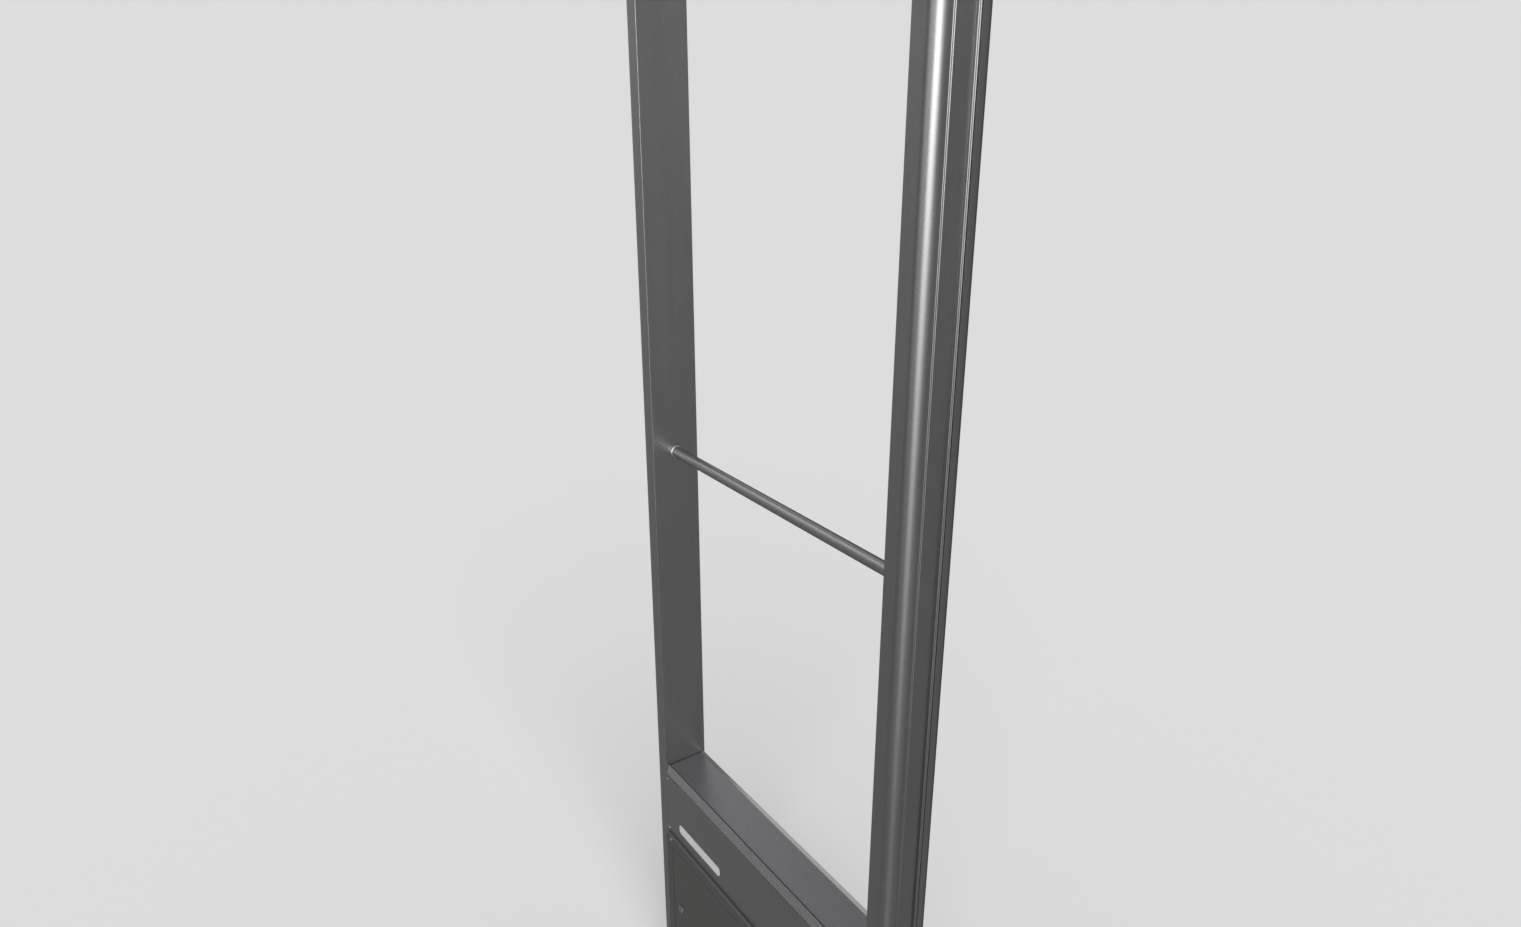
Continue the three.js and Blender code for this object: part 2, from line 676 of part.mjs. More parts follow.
function knob(x) {
  const radius = 5.5;
  const height = 8;
  const base = BOARD.front - 3.7;
  const profile = [[0, 0], [radius, 0], [radius - 0.4, height], [0, height]];
  const body = turned(profile, 16).rotateX(QUARTER).translate(x, base, KNOB_Z);
  const pointer = block(
    [x - 0.6, base - height - 0.8, KNOB_Z],
    [x + 0.6, base - height + 1, KNOB_Z + radius + 1.5],
  );
  return cut(body, pointer);
}

// A round can with a sound hole in the middle of its face.
function sounder() {
  const [radius, height, holeRadius, holeFloor] = [12, 10, 1.8, 7];
  const profile = [
    [0, 0], [radius, 0], [radius, height - 0.8], [radius - 0.8, height],
    [holeRadius, height], [holeRadius, holeFloor], [0, holeFloor],
  ];
  return turned(profile, 20).rotateX(QUARTER).translate(40, BOARD.front - GAP, 142);
}

const TERMINAL_TOP = 226;

function terminalBlock() {
  const [half, height, front, pitch] = [30, 12, -18, 7.4];
  const body = block([-half, front, TERMINAL_TOP - height], [half, BOARD.front - GAP, TERMINAL_TOP]);
  const wells = Array.from({ length: 8 }, (_, i) => (
    rod('y', front - 1, front + 3, TERMINAL_TOP - height / 2, (i - 3.5) * pitch, 2, 8)));
  return cut(body, ...wells);
}

const SUPPLY = { x0: -130, x1: -20, z0: 248, z1: 328, front: -17.8 };

function powerSupply() {
  const { x0, x1, z0, z1, front } = SUPPLY;
  const [pitch, margin, depth] = [12, 15, 1.5];
  const body = block([x0, front, z0], [x1, CHASSIS.front - GAP, z1]);
  const louvres = Array.from({ length: 7 }, (_, i) => {
    const x = (x0 + x1) / 2 + (i - 3) * pitch;
    return block([x - 2, front - 1, z0 + margin], [x + 2, front + depth, z1 - margin]);
  });
  return cut(body, ...louvres);
}

// A service switch: a body with a pocket, and a rocker tilted to its "on" side.
const SWITCH = { x: 110, z: 199, halfWidth: 8.5, halfHeight: 13, front: -13.5, pivotY: -11 };
const ROCKER_TILT = (12 * Math.PI) / 180;

function powerSwitch() {
  const { x, z, halfWidth, halfHeight, front } = SWITCH;
  const wall = 1.9;
  const body = block(
    [x - halfWidth, front, z - halfHeight],
    [x + halfWidth, CHASSIS.front - GAP, z + halfHeight],
  );
  const pocket = block(
    [x - halfWidth + wall, front - 1, z - halfHeight + wall],
    [x + halfWidth - wall, front + 8, z + halfHeight - wall],
  );
  return cut(body, pocket);
}

function switchRocker() {
  const [halfWidth, reach, face, back] = [6.2, 10, -2, 3];
  const rise = reach * Math.tan(ROCKER_TILT);
  const outline = polygon([
    [back, 7], [back, -7], [face - rise, -reach], [face, 0], [face - rise, reach],
  ]);
  const geometry = prism(outline, 'x', -halfWidth, halfWidth).rotateX(ROCKER_TILT);
  return geometry.translate(SWITCH.x, SWITCH.pivotY, SWITCH.z);
}

// The tamper switch and its plunger, whose tip the front cover presses.
const TAMPER = { x: -110, z: 199, front: -16, halfWidth: 8, halfHeight: 6, bore: 2.4 };

function tamperSwitch() {
  const { x, z, front, halfWidth, halfHeight, bore } = TAMPER;
  const body = block(
    [x - halfWidth, front, z - halfHeight],
    [x + halfWidth, CHASSIS.front - GAP, z + halfHeight],
  );
  return cut(body, rod('y', front - 1, front + 9, z, x, bore));
}

function tamperPlunger() {
  const tip = COVER_SKIN - GAP;
  const [foot, stem, head] = [9.5, TAMPER.bore - 0.5, 2.8];
  const profile = [
    [0, foot], [stem, foot], [stem, tip - 2], [head, tip - 1.6],
    [head, tip - 0.6], [head - 0.6, tip], [0, tip],
  ];
  return turned(profile).rotateX(QUARTER).translate(TAMPER.x, 0, TAMPER.z);
}

add('control_board', controlBoard(), 'board_green');
add('terminal_block', terminalBlock(), 'terminal_green');
add('sounder', sounder(), 'rubber_black');
for (const [name, x] of KNOBS) add(`${name}_knob`, knob(x), 'knob_white');
add('power_supply', powerSupply(), 'plated');
add('power_switch', powerSwitch(), 'rocker_black');
add('switch_rocker', switchRocker(), 'rocker_black');
add('tamper_switch', tamperSwitch(), 'moulded_dark');
add('tamper_plunger', tamperPlunger(), 'knob_white');

// ---------------------------------------------------------------- cables

const POST_X = INNER_X + CAVITY_CENTRE;
const TOP_BEND = CORNER_INNER_RADIUS + CAVITY_CENTRE;
const RAIL_Z = POST_TOP + TOP_BEND;
const RUN_Y = 1.7;

// One cable laid in a figure of eight: both crossings of the opening share the crossover tube.
function antennaCable() {
  const y = -12;
  return cable([
    [-20, y, TERMINAL_TOP + GAP],
    [-20, y, CABLE_ENTRY.z],
    [-POST_X, y, CABLE_ENTRY.z],
    [-POST_X, y, TUBE_Z - 30],
    [-POST_X, -RUN_Y, TUBE_Z - 14],
    [-POST_X, -RUN_Y, TUBE_Z],
    [POST_X, -RUN_Y, TUBE_Z],
    [POST_X, -RUN_Y, RAIL_Z, TOP_BEND],
    [-POST_X, RUN_Y, RAIL_Z, TOP_BEND],
    [-POST_X, RUN_Y, TUBE_Z],
    [POST_X, RUN_Y, TUBE_Z],
    [POST_X, RUN_Y, TUBE_Z - 14],
    [POST_X, y, TUBE_Z - 30],
    [POST_X, y, CABLE_ENTRY.z],
    [20, y, CABLE_ENTRY.z],
    [20, y, TERMINAL_TOP + GAP],
  ], 1.4, 5);
}

function lampLead() {
  const entryY = CABLE_ENTRY.y + 2.5;
  return cable([
    [-60, entryY, BOARD.z1 + GAP],
    [-60, entryY, CABLE_ENTRY.z],
    [-POST_X, entryY, CABLE_ENTRY.z],
    [-POST_X, LAMP_LEAD.y, CABLE_ENTRY.z + 20],
    [-POST_X, LAMP_LEAD.y, RAIL_Z, TOP_BEND],
    [LAMP_LEAD.x, LAMP_LEAD.y, RAIL_Z],
    [LAMP_LEAD.x, LAMP_LEAD.y, RAIL_Z + 8.2],
  ], LAMP_LEAD.radius, 5);
}

function powerCable() {
  const x = FLOOR_HOLE.x;
  return cable([
    [x, FLOOR_HOLE.y, 0.5],
    [x, FLOOR_HOLE.y, 60],
    [SWITCH.x, -4, 90],
    [SWITCH.x, -4, SWITCH.z - SWITCH.halfHeight - GAP],
  ], 3.5, 12, 8);
}

function mainsLead() {
  const top = 290;
  return cable([
    [SWITCH.x, -4, SWITCH.z + SWITCH.halfHeight + GAP],
    [SWITCH.x, -4, top],
    [SUPPLY.x1 + GAP, -4, top],
  ], 2.6, 10);
}

function supplyLead() {
  return cable([
    [-45, -2.5, SUPPLY.z0 - GAP],
    [-45, -6.8, BOARD.z1 + GAP],
  ], 1.4, 3);
}

add('antenna_cable', antennaCable(), 'cable_grey');
add('lamp_lead', lampLead(), 'cable_grey');
add('power_cable', powerCable(), 'rubber_black');
add('mains_lead', mainsLead(), 'rubber_black');
add('supply_lead', supplyLead(), 'cable_grey');

export default gate;
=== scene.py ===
"""The looks of an anti-theft antenna pedestal, built round its CAD frame.

Metres, +Z up, -Y is the front. Every shown piece takes its place and size from the frame's nodes.
"""

import json
import math

import bmesh
import bpy
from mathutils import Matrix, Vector
from mathutils.geometry import tessellate_polygon

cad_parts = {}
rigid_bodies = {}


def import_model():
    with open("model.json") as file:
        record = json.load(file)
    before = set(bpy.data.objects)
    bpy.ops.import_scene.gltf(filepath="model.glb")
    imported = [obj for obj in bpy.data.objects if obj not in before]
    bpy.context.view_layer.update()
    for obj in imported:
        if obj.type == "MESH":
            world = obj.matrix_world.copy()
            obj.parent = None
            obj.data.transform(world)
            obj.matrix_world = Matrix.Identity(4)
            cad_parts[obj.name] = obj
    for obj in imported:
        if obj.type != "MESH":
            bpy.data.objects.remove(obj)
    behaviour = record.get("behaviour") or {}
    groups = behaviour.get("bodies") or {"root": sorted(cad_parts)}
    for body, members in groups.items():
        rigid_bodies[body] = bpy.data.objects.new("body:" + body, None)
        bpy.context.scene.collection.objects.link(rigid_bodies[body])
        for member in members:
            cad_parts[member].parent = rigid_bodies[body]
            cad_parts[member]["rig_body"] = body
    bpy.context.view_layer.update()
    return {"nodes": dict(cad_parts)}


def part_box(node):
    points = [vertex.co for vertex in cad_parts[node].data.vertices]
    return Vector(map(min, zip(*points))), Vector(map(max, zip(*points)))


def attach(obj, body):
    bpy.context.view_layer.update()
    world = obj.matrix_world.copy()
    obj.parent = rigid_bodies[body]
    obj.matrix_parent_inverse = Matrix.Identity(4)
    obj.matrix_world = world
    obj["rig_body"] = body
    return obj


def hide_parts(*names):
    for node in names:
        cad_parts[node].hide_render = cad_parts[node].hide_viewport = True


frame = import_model()

MM = 0.001
GAP = 0.3 * MM
SIDES = (("left", -1), ("right", 1))
FACES = (("front", -1), ("rear", 1))


def half_size(node, axis):
    low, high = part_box(node)
    return (high[axis] - low[axis]) / 2


def centre(node):
    low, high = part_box(node)
    return (low + high) / 2


# ---------------------------------------------------------------- sizes taken from the frame

post_low, post_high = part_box("post_right")
strip_low, strip_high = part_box("post_strip_right")
INNER_X = post_low.x
POST_WIDTH = post_high.x - post_low.x
HALF_DEPTH = post_high.y
POST_TOP = post_high.z + GAP
STRIP_HALF = strip_high.y
CHANNEL_HALF = STRIP_HALF + GAP
CHANNEL_FLOOR = strip_low.x - INNER_X - GAP
FRAME_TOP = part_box("top_rail")[1].z
RAIL_END_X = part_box("top_rail")[1].x + GAP
CORNER_RADIUS = INNER_X - RAIL_END_X
TUBE_CENTRE = centre("crossover_tube")
TUBE_RADIUS = half_size("crossover_tube", 2)
TUBE_WALL = 1.3 * MM
LATCH_X = centre("front_latch_right").x
LATCH_Z = centre("front_latch_right").z
SCREW_HOLE = 1.9 * MM
LATCH_HOLE = 3.4 * MM
LATCH_STEM = 2.8 * MM
SHEET = 2.5 * MM


# ---------------------------------------------------------------- building solids


# Each places a point (a, b) of an outline at a distance t along one axis.
def along_x(a, b, t):
    return Vector((t, a, b))


def along_y(a, b, t):
    return Vector((a, t, b))


def along_z(a, b, t):
    return Vector((a, b, t))


class Solid:
    """Rings of points joined by walls and closed by flat caps."""

    def __init__(self):
        self.points = []
        self.faces = []

    def ring(self, points):
        start = len(self.points)
        self.points.extend(points)
        return list(range(start, len(self.points)))

    def wall(self, a, b):
        for i in range(len(a)):
            j = (i + 1) % len(a)
            self.faces.append((a[i], a[j], b[j], b[i]))

    def cap(self, outer, *holes):
        if not holes:
            self.faces.append(tuple(outer))
            return
        loops = (outer, *holes)
        index = [i for loop in loops for i in loop]
        for triangle in tessellate_polygon([[self.points[i] for i in loop] for loop in loops]):
            self.faces.append(tuple(index[corner] for corner in triangle))

    def extrude(self, outline, place, start, end, holes=()):
        """A prism of the outline with its holes, closed at both ends."""
        first = [self.ring(place(a, b, start) for a, b in loop) for loop in (outline, *holes)]
        last = [self.ring(place(a, b, end) for a, b in loop) for loop in (outline, *holes)]
        for a, b in zip(first, last):
            self.wall(a, b)
        self.cap(*first)
        self.cap(*last)
        return self

    def turn(self, profile, place, sides, hollow=False):
        """A turned solid from (radius, distance) pairs; a hollow one's profile closes on itself."""
        rings = [self.ring(place(x, y, t) for x, y in circle(r, sides)) for r, t in profile]
        for a, b in zip(rings, rings[1:]):
            self.wall(a, b)
        if hollow:
            self.wall(rings[-1], rings[0])
        else:
            self.cap(rings[0])
            self.cap(rings[-1])
        return self


def circle(radius, sides, x=0.0, y=0.0):
    turns = [2 * math.pi * i / sides for i in range(sides)]
    return [(x + radius * math.cos(t), y + radius * math.sin(t)) for t in turns]


def rectangle(x0, y0, x1, y1):
    return [(x0, y0), (x1, y0), (x1, y1), (x0, y1)]


def rounded_rectangle(x0, y0, x1, y1, radius, steps=8):
    corners = ((x1, y1, 0), (x0, y1, 1), (x0, y0, 2), (x1, y0, 3))
    points = []
    for x, y, quarter in corners:
        cx = x - math.copysign(radius, x - (x0 + x1) / 2)
        cy = y - math.copysign(radius, y - (y0 + y1) / 2)
        for i in range(steps + 1):
            angle = (quarter + i / steps) * math.pi / 2
            points.append((cx + radius * math.cos(angle), cy + radius * math.sin(angle)))
    return points


def piece(name, solid, node, material, bevel, angle=35):
    """Turns a solid into a shown piece that stands for a CAD node and rides on that node's body."""
    mesh = bpy.data.meshes.new(name)
    mesh.from_pydata([tuple(p) for p in solid.points], [], solid.faces)
    clean(mesh)
    return show(name, mesh, node, material, bevel, angle)


def is_band(face):
    """Whether a flat is a narrow band, such as half a ring, and fills little of its bounding box."""
    spans = []
    for axis in range(3):
        places = [vert.co[axis] for vert in face.verts]
        spans.append(max(places) - min(places))
    across, along = sorted(spans)[1:]
    return len(face.verts) > 4 and face.calc_area() < across * along / 2


def clean(mesh, weld=1e-7):
    """Joins points that meet, makes one face of a flat unless it is a band, and turns faces outwards."""
    form = bmesh.new()
    form.from_mesh(mesh)
    bmesh.ops.remove_doubles(form, verts=form.verts, dist=weld)
    bmesh.ops.dissolve_degenerate(form, edges=form.edges, dist=weld)
    one_plane = math.radians(1)
    bmesh.ops.dissolve_limit(form, angle_limit=one_plane, verts=form.verts, edges=form.edges)
    bmesh.ops.triangulate(form, faces=[face for face in form.faces if is_band(face)])
    bmesh.ops.recalc_face_normals(form, faces=form.faces)
    form.to_mesh(mesh)
    form.free()


def show(name, mesh, node, material, bevel, angle=35):
    """Gives a mesh its material, softens edges sharper than the angle, and replaces a CAD node."""
    obj = bpy.data.objects.new(name, mesh)
    bpy.context.scene.collection.objects.link(obj)
    mesh.materials.clear()
    mesh.materials.append(material)
    mesh.shade_smooth()
    if bevel:
        soften = obj.modifiers.new("soft_edges", "BEVEL")
        soften.width = bevel
        soften.segments = 3
        soften.limit_method = "ANGLE"
        soften.angle_limit = math.radians(angle)
        soften.use_clamp_overlap = True
        soften.loop_slide = False
        soften.miter_outer = "MITER_ARC"
        soften.face_strength_mode = "FSTR_ALL"
        flats = obj.modifiers.new("flat_faces", "WEIGHTED_NORMAL")
        flats.use_face_influence = True
    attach(obj, frame["nodes"][node]["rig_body"])
    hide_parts(node)
    return obj


def refined(node, material, bevel=0.3 * MM):
    """A welded copy of a CAD node with clean flat faces and softened edges."""
    mesh = frame["nodes"][node].data.copy()
    clean(mesh, weld=1e-6)
    return show(node + "_body", mesh, node, material, bevel)


# ---------------------------------------------------------------- materials


class Nodes:
    """Helpers that add and join the nodes of one shader tree."""

    def __init__(self, tree):
        self.tree = tree

    def feed(self, socket, value):
        if isinstance(value, bpy.types.NodeSocket):
            self.tree.links.new(value, socket)
        else:
            socket.default_value = value

    def node(self, kind, **inputs):
        made = self.tree.nodes.new(kind)
        for key, value in inputs.items():
            self.feed(made.inputs[key.replace("_", " ")], value)
        return made

    def maths(self, operation, a, b=0.0):
        made = self.tree.nodes.new("ShaderNodeMath")
        made.operation = operation
        self.feed(made.inputs[0], a)
        self.feed(made.inputs[1], b)
        return made.outputs[0]

    def vector(self, operation, a, b=(0, 0, 0)):
        made = self.tree.nodes.new("ShaderNodeVectorMath")
        made.operation = operation
        self.feed(made.inputs[0], a)
        self.feed(made.inputs[1], b)
        return made.outputs["Value" if operation == "DOT_PRODUCT" else "Vector"]

    def spread(self, value, low, high, start=0.3, end=0.7, smooth=False):
        """The value's range from start to end, stretched to run from low to high."""
        made = self.node("ShaderNodeMapRange", Value=value, From_Min=start, From_Max=end,
                         To_Min=low, To_Max=high)
        if smooth:
            made.interpolation_type = "SMOOTHSTEP"
        return made.outputs["Result"]

    def blend(self, share, a, b):
        made = self.tree.nodes.new("ShaderNodeMix")
        made.data_type = "RGBA"
        self.feed(made.inputs["Factor"], share)
        self.feed(made.inputs[6], a)
        self.feed(made.inputs[7], b)
        return made.outputs[2]


class Finish(Nodes):
    """A procedural material: a Principled surface with helpers for its noise, colour and bump."""

    def __init__(self, name, metallic=0.0):
        self.material = bpy.data.materials.new(name)
        self.material.use_nodes = True
        super().__init__(self.material.node_tree)
        self.surface = self.tree.nodes["Principled BSDF"]
        self.surface.inputs["Metallic"].default_value = metallic

    def noise(self, scale, detail=2.0, roughness=0.5):
        """Noise with its own scale along each axis, in features per metre."""
        place = self.node("ShaderNodeTexCoord").outputs["Object"]
        stretched = self.node("ShaderNodeMapping", Vector=place, Scale=scale).outputs["Vector"]
        made = self.node("ShaderNodeTexNoise", Vector=stretched, Scale=1.0, Detail=detail,
                         Roughness=roughness)
        return made.outputs["Fac"]

    def shade(self, value, dark, light):
        """A colour between two, by a value from 0 to 1."""
        return self.blend(value, (*dark, 1), (*light, 1))

    def worn(self, colour, edge, amount, radius=0.8 * MM):
        """Lightens the colour where the surface turns a corner."""
        rounded = self.node("ShaderNodeBevel", Radius=radius).outputs["Normal"]
        true = self.node("ShaderNodeNewGeometry").outputs["Normal"]
        turn = self.spread(self.vector("DOT_PRODUCT", rounded, true), amount, 0, 0.8, 0.99)
        return self.blend(turn, colour, (*edge, 1))

    def painted_crease_shade(self, colour, darkest, distance):
        """Painted shade: darkens the colour in creases and seams by their ambient occlusion."""
        occlusion = self.node("ShaderNodeAmbientOcclusion", Distance=distance)
        occlusion.samples = 8
        crease = self.spread(occlusion.outputs["AO"], darkest, 1, 0.2, 0.95)
        shadow = self.node("ShaderNodeCombineXYZ", X=crease, Y=crease, Z=crease)
        return self.vector("MULTIPLY", colour, shadow.outputs[0])

    def bump(self, height, depth, strength=1.0):
        return self.node("ShaderNodeBump", Height=height, Distance=depth,
                         Strength=strength).outputs["Normal"]

    def set(self, **inputs):
        for key, value in inputs.items():
            self.feed(self.surface.inputs[key.replace("_", " ")], value)
        return self.material


def stretch(along, across, run):
    """Noise scale that is slow along one axis, the brushing's direction, and fast across it."""
    return tuple(along if axis == run else across for axis in "xyz")


def brushed_metal(name, run, tone, tint, roughness, grain, speckle, grit=0.7, pitch=900):
    """Anodised aluminium: fine lines along the run, a speckled grain, slow changes of sheen and painted
    shade in creases.

    The grain is its depth in mm, the speckle its contrast, the grit its share of specks over lines,
    and the pitch is in lines per metre.
    """
    made = Finish(name, metallic=1.0)
    lines = made.noise(stretch(5, pitch, run), detail=4, roughness=0.65)
    specks = made.noise((700, 700, 700), detail=3, roughness=0.7)
    cloud = made.noise((9, 9, 9), detail=3)
    speckled = made.maths("MULTIPLY", specks, grit)
    mixed = made.maths("ADD", speckled, made.maths("MULTIPLY", lines, 1 - grit))
    dark = [tone * c * (1 - speckle) for c in tint]
    light = [tone * c * (1 + speckle) for c in tint]
    rubbed = [tone * c * 1.3 for c in tint]
    colour = made.worn(made.shade(made.spread(mixed, 0, 1), dark, light), rubbed, 0.6)
    sheen = made.maths("ADD", made.spread(lines, -0.03, 0.03), made.spread(cloud, -0.02, 0.02))
    return made.set(
        # painted shade: the colour darkens in creases and seams
        Base_Color=made.painted_crease_shade(colour, 0.62, 2 * MM),
        Roughness=made.maths("ADD", sheen, roughness),
        Normal=made.bump(mixed, grain * MM),
    )


def coated_metal(name, tone, tint, roughness):
    """Fine-textured powder coat with lighter worn edges, faint handling marks and painted shade in
    creases.
    """
    made = Finish(name)
    peel = made.noise((900, 900, 900), detail=3, roughness=0.6)
    broad = made.noise((14, 14, 14), detail=3)
    dark = [tone * c * 0.93 for c in tint]
    light = [tone * c * 1.07 for c in tint]
    rubbed = [tone * c * 1.5 for c in tint]
    colour = made.worn(made.shade(made.spread(peel, 0, 1), dark, light), rubbed, 0.6)
    return made.set(
        # painted shade: the colour darkens in creases and seams
        Base_Color=made.painted_crease_shade(colour, 0.75, 1 * MM),
        Roughness=made.maths("ADD", made.spread(broad, -0.04, 0.05), roughness),
        Specular_IOR_Level=0.35,
        Normal=made.bump(peel, 0.02 * MM),
    )


def moulded(name, colour, roughness, texture=0.02, scale=1600):
    """Moulded plastic or rubber with an even spark texture, whose depth is in mm."""
    made = Finish(name)
    spark = made.noise((scale, scale, scale), detail=2, roughness=0.6)
    slow = made.noise((25, 25, 25), detail=2)
    dark = [c * 0.92 for c in colour]
    light = [c * 1.08 for c in colour]
    return made.set(
        Base_Color=made.shade(made.spread(slow, 0, 1), dark, light),
        Roughness=made.maths("ADD", made.spread(spark, -0.05, 0.05), roughness),
        Normal=made.bump(spark, texture * MM),
    )


def plated_metal(name, tone, roughness):
    """Zinc or nickel plating with faint spangle and turning marks."""
    made = Finish(name, metallic=1.0)
    spangle = made.noise((260, 260, 260), detail=3)
    fine = made.noise((2400, 2400, 2400), detail=2)
    colour = made.shade(made.spread(spangle, 0, 1), [tone * 0.88] * 3, [tone, tone, tone * 1.03])
    return made.set(
        Base_Color=colour,
        Roughness=made.maths("ADD", made.spread(fine, -0.06, 0.06), roughness),
        Normal=made.bump(fine, 0.004 * MM),
    )


def lens_plastic():
    """Translucent red lens, ribbed inside."""
    made = Finish("lens_red")
    ribs = made.tree.nodes.new("ShaderNodeTexWave")
    ribs.wave_type = "BANDS"
    ribs.bands_direction = "X"
    ribs.inputs["Scale"].default_value = 120
    place = made.node("ShaderNodeTexCoord").outputs["Object"]
    made.feed(ribs.inputs["Vector"], place)
    tone = made.shade(ribs.outputs["Fac"], (0.30, 0.008, 0.006), (0.50, 0.02, 0.012))
    return made.set(
        Base_Color=tone,
        Roughness=0.12,
        Transmission_Weight=0.45,
        IOR=1.49,
        Normal=made.bump(ribs.outputs["Fac"], 0.25 * MM, 0.6),
    )


def circuit_board(name, mask, copper):
    """Solder mask over copper tracks, with clusters of tinned pads at a tenth of an inch."""
    made = Finish(name)
    tin = (0.42, 0.42, 0.40, 1)
    inch = 25.4 * MM
    place = made.node("ShaderNodeTexCoord").outputs["Object"]
    turned = made.node("ShaderNodeMapping", Vector=place, Rotation=(math.pi / 2, 0, 0))
    facing = turned.outputs["Vector"]
    routing = made.node("ShaderNodeTexBrick", Vector=facing, Scale=100.0, Brick_Width=1.78,
                        Row_Height=0.508, Mortar_Size=0.035, Mortar_Smooth=0.2)
    tracks = routing.outputs["Fac"]
    grid = made.node("ShaderNodeTexVoronoi", Vector=facing, Scale=10 / inch, Randomness=0.0)
    grid.voronoi_dimensions = "2D"
    clusters = made.spread(made.noise((55, 55, 55)), 0, 1, 0.52, 0.54)
    pads = made.maths("MULTIPLY", made.spread(grid.outputs["Distance"], 1, 0, 0.15, 0.2), clusters)
    fine = made.noise((1800, 1800, 1800))
    return made.set(
        Base_Color=made.blend(pads, made.shade(tracks, mask, copper), tin),
        Roughness=made.maths("ADD", made.spread(fine, -0.05, 0.05), 0.35),
        Normal=made.bump(made.maths("MAXIMUM", tracks, pads), 0.05 * MM),
    )


COOL = (1.0, 0.995, 1.005)
LILAC = (1.0, 0.975, 1.02)
WARM = (1.0, 1.0, 0.965)
ANODISED = {"tone": 0.34, "tint": COOL, "roughness": 0.33, "grain": 0.002}
CAP = {"tone": 0.45, "tint": LILAC, "roughness": 0.34, "grain": 0.004, "speckle": 0.15}
# The cap's outward slopes: a coarser brushing, and a lighter tone than the cap that is a painted
# highlight.
CAP_SLOPE_PAINTED_LIGHT = {"tone": 0.56, "tint": LILAC, "roughness": 0.3, "grain": 0.006, "speckle": 0.32}
TUBE = {"tone": 0.36, "tint": LILAC, "roughness": 0.32, "grain": 0.004, "speckle": 0.2}

post_metal = brushed_metal("anodised_upright", "z", **ANODISED, speckle=0.12)
rail_metal = brushed_metal("anodised_across", "x", **ANODISED, speckle=0.12)
strip_metal = brushed_metal("strip_upright", "z", **ANODISED, speckle=0.06)
top_strip_metal = brushed_metal("strip_across", "x", **ANODISED, speckle=0.06)
cap_metal = brushed_metal("brushed_cap", "x", **CAP)
slope_metal_painted_light = brushed_metal("brushed_cap_slope_painted_light", "y", **CAP_SLOPE_PAINTED_LIGHT, grit=0.2, pitch=500)
tube_metal = brushed_metal("brushed_tube", "x", **TUBE)
dark_coat = coated_metal("coated_dark", tone=0.07, tint=WARM, roughness=0.55)
# A lighter copy of the dark coat, for a painted highlight on the surround's ledge.
painted_highlight_coat = coated_metal("coated_painted_highlight", tone=0.1, tint=WARM, roughness=0.7)
foot_coat = coated_metal("coated_foot", tone=0.06, tint=WARM, roughness=0.6)
dark_plastic = moulded("moulded_dark", (0.055, 0.055, 0.057), roughness=0.5)
pale_plastic = moulded("pale_inlay", (0.62, 0.62, 0.62), roughness=0.4, texture=0.01)
knob_plastic = moulded("knob_white", (0.62, 0.60, 0.55), roughness=0.4)
rocker_plastic = moulded("rocker_black", (0.012, 0.012, 0.012), roughness=0.28, texture=0.008)
terminal_plastic = moulded("terminal_green", (0.03, 0.24, 0.08), roughness=0.42)
black_rubber = moulded("rubber_black", (0.014, 0.014, 0.014), roughness=0.75, texture=0.04, scale=900)
grey_sheath = moulded("cable_grey", (0.07, 0.07, 0.075), roughness=0.6)
chip_plastic = moulded("chip_black", (0.02, 0.02, 0.021), roughness=0.45)
steel = plated_metal("steel", tone=0.42, roughness=0.36)
plated = plated_metal("plated", tone=0.62, roughness=0.22)
screw_metal = plated_metal("screw_heads", tone=0.5, roughness=0.18)
ferrule_metal = plated_metal("ferrule", tone=0.85, roughness=0.3)
board_mask = circuit_board("board_green", mask=(0.012, 0.085, 0.035), copper=(0.03, 0.16, 0.06))
lens = lens_plastic()


# ---------------------------------------------------------------- frame section

# The section is drawn as (out, across): out from the opening's side, across from front to back.
FLAT_OUT = 12 * MM
CORNER_ACROSS = 12.3 * MM
CORNER_FULLNESS = 2 / 2.4
EDGE_ROUNDING = 0.6 * MM
POST_WALL = 2.2 * MM
CHANNEL_WALL = 1.8 * MM
HOLLOW_BACK = 2.4 * MM
HOLLOW_CORNER = (3.4 * MM, 5.5 * MM)
LIP = 3 * MM
LIP_RISE = 2 * MM
BEAD_HEIGHT = 0.5 * MM
TENON_INSET = 2.5 * MM
TENON_OUT = FLAT_OUT + 2 * MM
TENON_WALL = 1.6 * MM


def mirrored_across(points):
    return points + [(out, -across) for out, across in reversed(points)]


def rounded_corner(steps):
    points = []
    for i in range(steps + 1):
        angle = i / steps * math.pi / 2
        points.append((
            FLAT_OUT + (POST_WIDTH - FLAT_OUT) * math.sin(angle) ** CORNER_FULLNESS,
            -CORNER_ACROSS - (HALF_DEPTH - CORNER_ACROSS) * math.cos(angle) ** CORNER_FULLNESS,
        ))
    return points


def section_outline(channel_half, channel_floor, steps=22):
    """A flat inner side with softened edges, rounded outer corners and a channel for the strip."""
    edge, bulge = EDGE_ROUNDING, 0.3 * EDGE_ROUNDING
    return mirrored_across([
        (0, edge - HALF_DEPTH),
        (bulge, bulge - HALF_DEPTH),
        (edge, -HALF_DEPTH),
        *rounded_corner(steps),
        (POST_WIDTH, -channel_half),
        (channel_floor, -channel_half),
    ])


def cavity_outline():
    """The hollow follows the walls, cuts the rounded corner off and stops behind the channel."""
    across = HALF_DEPTH - POST_WALL
    beside_channel = CHANNEL_HALF + POST_WALL
    corner_out, corner_across = HOLLOW_CORNER
    return mirrored_across([
        (POST_WALL, -across),
        (FLAT_OUT + POST_WALL, -across),
        (POST_WIDTH - corner_out, corner_across - HALF_DEPTH),
        (POST_WIDTH - HOLLOW_BACK, -beside_channel),
        (CHANNEL_FLOOR - CHANNEL_WALL, -beside_channel),
    ])


